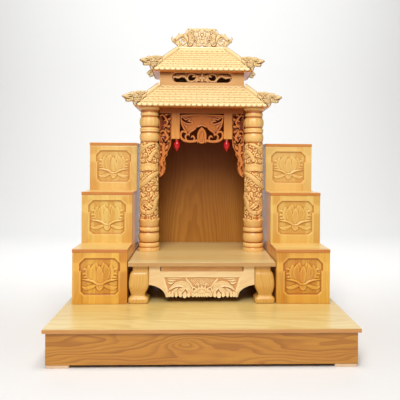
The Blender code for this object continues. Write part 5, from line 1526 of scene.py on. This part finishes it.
# %% The attic front and its walls
ATTIC_HOLES = mirrored([
    [(101, -6, 5.5), (96, -10, 7), (88, -11, 6.2)],
    [(88, -11.5, 6), (78, -8, 9), (70, -9, 8.5), (62, -13, 4.5), (57, -15.5, 2)],
    [(103, 10, 2), (95, 14, 2.6), (80, 15, 2.4), (66, 15, 2)],
    [(39, 8, 3.5), (45, 3, 6), (45, -2, 7.5), (38, -4, 7), (31, -3, 5), (26, 0, 3)],
    [(20, 13.5, 2), (14, 12.5, 4), (9, 15, 1.8)], [(16, -14.5, 1.6), (11, -14, 2.4), (8, -15, 1.4)],
])
ATTIC_SCROLLS = mirrored([
    [(109, 3, 2), (98, 2, 4), (86, 2, 5), (76, 7, 4), (66, 5, 4), (57, -4, 3.6), (52, -13, 2.6)],
    [(28, -10, 2.4), (38, -14, 2.6), (49, -12, 2.4), (54.5, -2, 2.6), (50, 10, 2.4), (38, 14, 2.4), (28, 10, 2.6),
     (31, 5, 3.4)],
])
ATTIC_FLOWER = [leaf(0, 0, x, z, 5) for x, z in ((0, 15), (0, -15), (11, 0), (-11, 0))]
WINDOW_Z = 888.0
attic_half, _, attic_top = attic_high / MM
attic_bottom = attic_low[2] / MM


def attic_outline(across, up):
    """(outline, window): the board less the holes, and the depth inside the long field that holds the scrollwork."""
    board = box_depth(across, up, (-attic_half, attic_bottom), (attic_half, attic_top))
    window = 18.5 - np.hypot(np.maximum(np.abs(across) - 94.5, 0.0), up - WINDOW_Z)
    return np.minimum(board, -union(across, up - WINDOW_Z, ATTIC_HOLES)), window


across, up = np.meshgrid(grid_lines(-attic_half, attic_half, 1.1), grid_lines(attic_bottom, attic_top, 1.05),
                         indexing="ij")
outline_depth, window = attic_outline(across, up)
bench = Carving(across, up - WINDOW_Z, 0.0)
bench.cover(window, -1.6, 1.0)
for stroke in ATTIC_SCROLLS:
    bench.stem(stroke, -1.5, 1.5, ground=0.3)
    bench.groove([(x, z, 0.4 * r) for x, z, r in stroke], 0.5)
bench.boss(0, 0, 6, -1.4, 2, 0.6)
for stroke in ATTIC_FLOWER:
    bench.petal(stroke, -1.3, 1.9, 0.4, 0.2, ground=0.6)
attic_thick = attic_high[1] - attic_low[1]
# painted shade darkening the top 14 mm of the board, towards the attic wood's cuts colour
shade = bench.shade() - 0.3 * ease_step(attic_top - 14, attic_top, up)
attic = add_carving("attic_front", attic_wood, across, up, outline_depth, bench.height, attic_thick / MM,
                    facing_front(0, attic_low[1], 0), shade)
low, high = corners_of("attic_walls")
inner_x, inner_y = high[0] - attic_thick, high[1] - attic_thick
walls = [(low[0], low[1]), (-inner_x, low[1]), (-inner_x, inner_y), (inner_x, inner_y), (inner_x, low[1]),
         (high[0], low[1]), (high[0], high[1]), (low[0], high[1])]


def lying(across, out, up):
    """Place on a ring of boards seen from above: across is +X, up is +Y, out is +Z."""
    return np.stack([across, up, (low[2] + high[2]) / 2 + out], -1)


add_cut_board("attic_walls_wood", walls, high[2] - low[2], lying, attic_wood, ("attic_walls",), 0.6 * MM)
print("attic:", len(attic.data.polygons), "faces")

# %% [markdown]
# ## Dragons on the hips and on the ridge
#
# A dragon on a hip guards the corner it looks out from, and the pair on the ridge plays with a flaming pearl. They
# are seen against the sky, so the outline matters most. Each is a pierced board with the same relief on both faces,
# which falls to a thin edge at the outline.

# %% A board carved on both faces
def add_double_sided(node, across, up, outline_depth, bench, place, material, edge=1.6):
    """Front and back are the same relief over a core; near the outline both are rounded down to edge."""
    round_off = np.sqrt(np.clip(outline_depth / 2.6, 0, 1))
    height = edge + (np.maximum(bench.height, 0.6) - edge) * round_off
    shade = bench.shade()
    return add_carving(node, material, across, up, outline_depth, height, height, place, shade, shade)


def hip_dragon(rib_length, slope):
    """Strokes of a dragon whose body is a rib up the hip: t outward from the corner, z up (mm)."""
    rib = [(t, 5.5 - slope * t, 9.5) for t in (-rib_length, -0.7 * rib_length)] + [(-50, 7 + slope * 50, 10)]
    return [
        rib + [(-38, 38, 11.5), (-24, 34, 13.5), (-10, 31, 15), (4, 28, 15)],
        [(4, 28, 15), (18, 26.5, 14.5), (30, 25, 11.5), (42, 24.5, 8), (49, 24.5, 5.2), (53, 24.5, 2.8)],
        [(16, 19, 10), (28, 15, 8.5), (36, 11.5, 5.5)], [(36, 19, 7.5), (45, 21.5, 5)],
        [(-24, 26, 10), (-10, 18, 10), (2, 14, 8), (4, 6, 4.5), (1, -2, 3.4)],
        [(4, 36, 8), (-6, 42, 6), (-16, 47, 4.5), (-24, 49, 2.4)],
        [(-14, 40, 8), (-26, 45, 6.5), (-37, 49, 4), (-46, 51, 2)],
        [(-26, 38, 9), (-38, 44, 6.5), (-50, 50, 4), (-58, 54, 1.6)],
        [(24, 34, 4), (17, 40, 3.4), (10, 43.5, 2)],
    ]


print("hip dragon strokes:", len(hip_dragon(100, 0.7)))

# %% Carve and place the six hip dragons
SET_BACK, RIB_GAPS = 4.24, (6.8, 8.5)  # how far the cut corners stand back, how much shorter a rib is than its hip (mm)


def carve_hip_dragon(across, up, strokes):
    """Rounded rib and neck with scales, a cheek, a brow over a round eye, a cut mouth, manes like flames."""
    bench = Carving(across, up, 1.0)
    rib, head, jaw = strokes[:3]
    bench.stem(rib[:4], 0.8, 6.6, ground=0.2)
    bench.scaly(rib[3:], 1.2, 7.0, pitch=5.0, ground=0.6, bite=1.2)
    bench.petal(strokes[4], 1.4, 5.0, 0.45, 0.2, ground=0.9)
    for stroke in reversed(strokes[5:]):
        bench.petal(stroke, 1.6, 5.0, 0.5, 0.3, ground=1.2, veins=0.4)
    bench.stem(head, 1.8, 7.0, ground=1.4)
    bench.stem(jaw, 1.6, 6.0, ground=1.2)
    bench.stem([(22, 20.5, 2.6), (34, 20.5, 2.8), (44, 21.5, 2.6), (53, 24, 2.2)], 6.2, 2.6, ground=1.4)
    bench.stem([(19, 32, 3), (29, 34.5, 3.4), (40, 31, 2.2)], 6.2, 3.2, ground=1.4)
    bench.stem([(26, 9, 2), (34, 12, 2.2), (42, 14, 2)], 5.2, 2.2, ground=1)
    bench.boss(30, 27.5, 3.6, 6, 2.8, 2.4)
    bench.boss(47, 27.5, 2.4, 4.8, 2.6, 1.2)
    for t, z, size, start in ((10, 28, 8, 60), (-8, 32, 6.5, 200)):
        bench.stem(volute(t, z, size, start, 1.2, 2.8), 5.8, 3.2, ground=1.8)
    for t, z in ((-8, 8), (-20, 15), (-26, 25)):
        bench.petal(leaf(10, 20, t, z, 4.4, 2), 5.0, 3.6, 0.4, 0.2, ground=1.6)
    bench.groove([(51, 19.5, 1.4), (43, 17, 1.8), (34, 16.5, 1.6), (28, 18, 1.2)], 3.8)
    return bench


def add_hip_dragon(node, corner, rib_length, slope):
    """Cuts one dragon and stands it in the upright plane through the corner's diagonal."""
    across, up = np.meshgrid(grid_lines(-rib_length - 3, 60, 1.2), grid_lines(-8, slope * rib_length + 22, 1.2),
                             indexing="ij")
    strokes = hip_dragon(rib_length, slope)
    seat = up + slope * (across + SET_BACK) + 3.0
    free = np.where(across > -SET_BACK, across + SET_BACK + up, seat)
    depth = np.minimum.reduce([union(across, up, strokes), np.where(across < 0, seat, free), across + rib_length])
    x, y, z = corner
    turn = math.atan2(1.0 if y > middle_y else -1.0, 1.0 if x > 0 else -1.0)
    ahead, beside = (math.cos(turn), math.sin(turn)), (math.sin(turn), -math.cos(turn))

    def place(along, out, lift):
        """Along is the corner's diagonal, out is level and square to it."""
        return np.stack([x + along * ahead[0] + out * beside[0], y + along * ahead[1] + out * beside[1], z + lift], -1)

    return add_double_sided(node, across, up, depth, carve_hip_dragon(across, up, strokes), place, dragon_wood)


lower_run = (lower_high[0] - attic_high[0]) * math.sqrt(2)
upper_run = (upper_high[0] - ridge_half) * math.sqrt(2)
lower_slope = (lower_high[2] - lower_low[2]) / lower_run
upper_slope = (upper_high[2] - upper_low[2]) / (upper_run - 4 * MM / math.sqrt(2))
for side_name, side in SIDES:
    corner = (side * lower_high[0], lower_low[1], lower_low[2])
    dragon = add_hip_dragon(f"hip_dragon_lower_{side_name}", corner, lower_run / MM - RIB_GAPS[0], lower_slope)
    for depth_name, y in (("front", upper_low[1]), ("back", upper_high[1])):
        corner = (side * upper_high[0], y, upper_low[2])
        add_hip_dragon(f"hip_dragon_upper_{depth_name}_{side_name}", corner, upper_run / MM - RIB_GAPS[1], upper_slope)
print("hip dragon:", len(dragon.data.polygons), "faces")

# %% The pair on the ridge
RIDGE_BODIES = mirrored([
    [(112, 24, 6.5), (102, 22, 11), (94, 12, 8.5), (90, 2, 5)],
    [(100, 28, 7), (87, 41, 7.5), (73, 43, 7.5), (62, 36, 8), (53, 24, 9), (46, 10, 11)],
    [(46, 10, 11), (41, 26, 12.5), (43, 40, 12.5), (45, 52, 10.5), (46, 62, 7)],
])
RIDGE_LEAVES = mirrored([
    [(86, 36, 6), (91, 46, 3.2), (89, 52, 1.8)], [(112, 26, 4.5), (118, 33, 3), (116, 39, 1.8)],
    [(54, 50, 6), (60, 58, 3.4), (60, 65, 1.8)], [(40, 62, 7), (26, 66, 4.5), (10, 66, 4.5)],
    [(38, 48, 9), (27, 47, 7), (10, 47, 6.5)], [(38, 30, 9), (26, 26, 8), (13, 23, 8), (0, 20, 7)],
    [(42, 8, 9), (30, 3, 5), (22, -1, 3)],
    [(58, 6, 6), (68, 2, 3.4), (76, 0, 2.6)],
])
RIDGE_CLOUD = mirrored([[(54, 68, 3.4), (36, 68.5, 4), (18, 69, 4), (0, 69.5, 4)]])
RIDGE_PEARL = [[(0, 69, 6), (0, 58, 8.5), (0, 46, 11), (0, 34, 9), (0, 20, 7)]]
RIDGE_SCROLLS = mirrored([
    volute(75, 20, 12.5, 80, 1.35, 4.4), volute(20, 57, 7.5, 330, 1.3, 3.6), volute(20, 36, 7.5, 200, 1.3, 3.6),
    volute(62, 50, 6, 200, 1.1, 3.2), volute(22, 12, 8, 120, 1.3, 3.8),
    [(75, 8, 4), (66, 14, 3.4), (60, 20, 3)],
    [(93, 27, 4), (86, 18, 3.6), (84, 6, 4), (82, -1, 3.6)], [(12, 5, 4), (4, 10, 4.6), (0, 14, 4.6)],
])
RIDGE_BOARD = 12.0


def carve_ridge(across, up):
    """Scaly bodies, two heads with an eye and curls, leaf-like manes and a pearl in flames, over a ridge board."""
    bench = Carving(across, up, 1.6)
    for stroke in RIDGE_CLOUD:
        bench.stem(stroke, 2.0, 3.4, ground=0.4)
    for stroke in RIDGE_SCROLLS:
        bench.stem(stroke, 2.0, 2.8, ground=0.6)
    for stroke in RIDGE_LEAVES:
        bench.petal(stroke, 1.8, 3.6, 0.45, 0.2, ground=0.9, veins=0.4)
    for stroke in RIDGE_BODIES:
        bench.scaly(stroke, 1.8, 4.0, pitch=4.6, ground=0.9, bite=1.4)
    bench.petal(RIDGE_PEARL[0], 1.8, 3.6, 0.4, 0.2, ground=1.0)
    for side in (-1, 1):
        for x, z, size, start, turns in ((44, 54, 8.5, 120, 1.2), (38, 34, 8, 300, -1.2), (104, 22, 9, 0, 1.2),
                                         (26, 24, 6, 60, 1.1), (47, 12, 8, 200, 1.2), (73, 43, 5, 90, -1)):
            curl = volute(x, z, size, start, turns, 2.6)
            bench.stem([(side * px, pz, r) for px, pz, r in curl], 4.0, 2.6, ground=1.4)
        for tip_x, tip_z in ((9, 62), (12, 52), (10, 38)):
            bench.petal(leaf(0, 30, side * tip_x, tip_z, 3.6, -2 * side), 3.2, 3.0, 0.4, 0.2, ground=1.2)
        bench.boss(side * 40, 58, 3.0, 4.8, 2.0, 1.6)
    bench.boss(0, 46, 6, 3.6, 3.6, 1.6)
    board = np.minimum(-up, up + RIDGE_BOARD)
    bench.cover(np.where(board > 0, board, -9), 5.6 - 0.9 * np.exp(-((board / 2.0) ** 2)), 0.8)
    return bench


half_x, board_half = corners_of("ridge_ornament", MM)[1, 0] + 1, ridge_half / MM + 6
across, up = np.meshgrid(grid_lines(-half_x, half_x, 1.25), grid_lines(-RIDGE_BOARD, 74, 1.25), indexing="ij")
board = box_depth(across, up, (-board_half, 0.1 - RIDGE_BOARD), (board_half, 1.5))
strokes = union(across, up, RIDGE_BODIES + RIDGE_LEAVES + RIDGE_CLOUD + RIDGE_PEARL + RIDGE_SCROLLS)
depth = np.maximum(board, np.minimum(strokes, up + 1.0))
place = facing_front(0, middle_y, upper_high[2] + gap + RIDGE_BOARD * MM)
ridge = add_double_sided("ridge_ornament", across, up, depth, carve_ridge(across, up), place, dragon_wood)
print("ridge:", len(ridge.data.polygons), "faces")

# %% [markdown]
# ## Floor, light and camera
#
# Pale wood shows best in high-key light, but carving needs a direction. A soft lamp hangs almost overhead, so eaves
# and ledges throw short shadows downwards, a second one looks in from above the camera and reaches under the roof,
# and two weak ones keep the flanks open. The camera looks almost straight ahead at the upper treads. Its lens is
# shifted a little instead of the camera tilting down, so that upright edges stay parallel.

# %% Floor and world
def studio_sweep():
    """A floor that turns up into a back wall along a quarter circle: (points, quads), one strip per row."""
    turn = np.linspace(0, math.pi / 2, 25)
    profile = [(-12.0, 0.0), *zip(2.2 + 1.6 * np.sin(turn), 1.6 - 1.6 * np.cos(turn)), (3.8, 6.0)]
    points = np.array([(x, y, z) for y, z in profile for x in (-14, 14)])
    return points, grid_quads(len(profile), 2)[:, ::-1]


studio_paper, _, paper_shader = new_material("studio_paper")
paper_shader.inputs["Base Color"].default_value = (0.82, 0.82, 0.82, 1.0)
paper_shader.inputs["Roughness"].default_value = 0.8
sweep_points, sweep_quads = studio_sweep()
floor_mesh = bpy.data.meshes.new("studio_floor")
floor_mesh.from_pydata(sweep_points.tolist(), [], sweep_quads.tolist())
floor_mesh.materials.append(studio_paper)
floor_mesh.shade_smooth()
studio_floor = bpy.data.objects.new("studio_floor", floor_mesh)
bpy.context.scene.collection.objects.link(studio_floor)

world = bpy.data.worlds.new("soft_room")
bpy.context.scene.world = world
world.use_nodes = True
world.node_tree.nodes["Background"].inputs["Color"].default_value = (1.0, 0.92, 0.80, 1.0)
world.node_tree.nodes["Background"].inputs["Strength"].default_value = 0.17
print("floor and world ready")


# %% Lamps and camera
def add_area_light(name, place, target, size, power, colour=(1.0, 1.0, 1.0)):
    """A square soft lamp that stands at place and faces target."""
    data = bpy.data.lights.new(name, "AREA")
    data.size = size
    data.energy = power
    data.color = colour
    lamp = bpy.data.objects.new(name, data)
    direction = np.array(target, float) - np.array(place, float)
    flat = math.hypot(direction[0], direction[1])
    lamp.rotation_euler = (math.atan2(flat, -direction[2]), 0.0, math.atan2(direction[1], direction[0]) - math.pi / 2)
    lamp.location = place
    bpy.context.scene.collection.objects.link(lamp)
    return lamp


add_area_light("key", (0.1, -0.6, 2.75), (0.0, 0.05, 0.3), 1.2, 32.0, (1.0, 0.98, 0.95))
add_area_light("front_fill", (-0.3, -2.3, 2.35), (0.0, 0.0, 0.4), 1.3, 68.0)
add_area_light("right_fill", (2.4, -1.0, 1.3), (0.0, 0.0, 0.4), 1.6, 2.0)
add_area_light("left_fill", (-2.4, -1.0, 1.3), (0.0, 0.0, 0.4), 1.6, 2.0)
add_area_light("backdrop_light", (0.0, 2.0, 2.8), (0.0, 4.3, 1.0), 5.0, 94.0, (0.97, 0.99, 1.0))
camera_data = bpy.data.cameras.new("studio_camera")
camera_data.lens = 45.98
camera_data.sensor_width = 36.0
camera_data.shift_x, camera_data.shift_y = -0.0257, -0.0874
studio_camera = bpy.data.objects.new("studio_camera", camera_data)
studio_camera.location = (-0.0283, -1.7709, 0.5623)
studio_camera.rotation_euler = tuple(math.radians(turn) for turn in (89.917, -0.361, -1.828))
bpy.context.scene.collection.objects.link(studio_camera)
bpy.context.scene.camera = studio_camera
bpy.context.scene.view_settings.view_transform = "Standard"
print("camera at", tuple(studio_camera.location))

# %% [markdown]
# ## Finish
#
# The triangles of the carved and sawn pieces are counted and printed. The finished model must fill the same
# box as the plain solids.

# %% Count the triangles
print("triangles in carved and sawn pieces:", totals["triangles"])
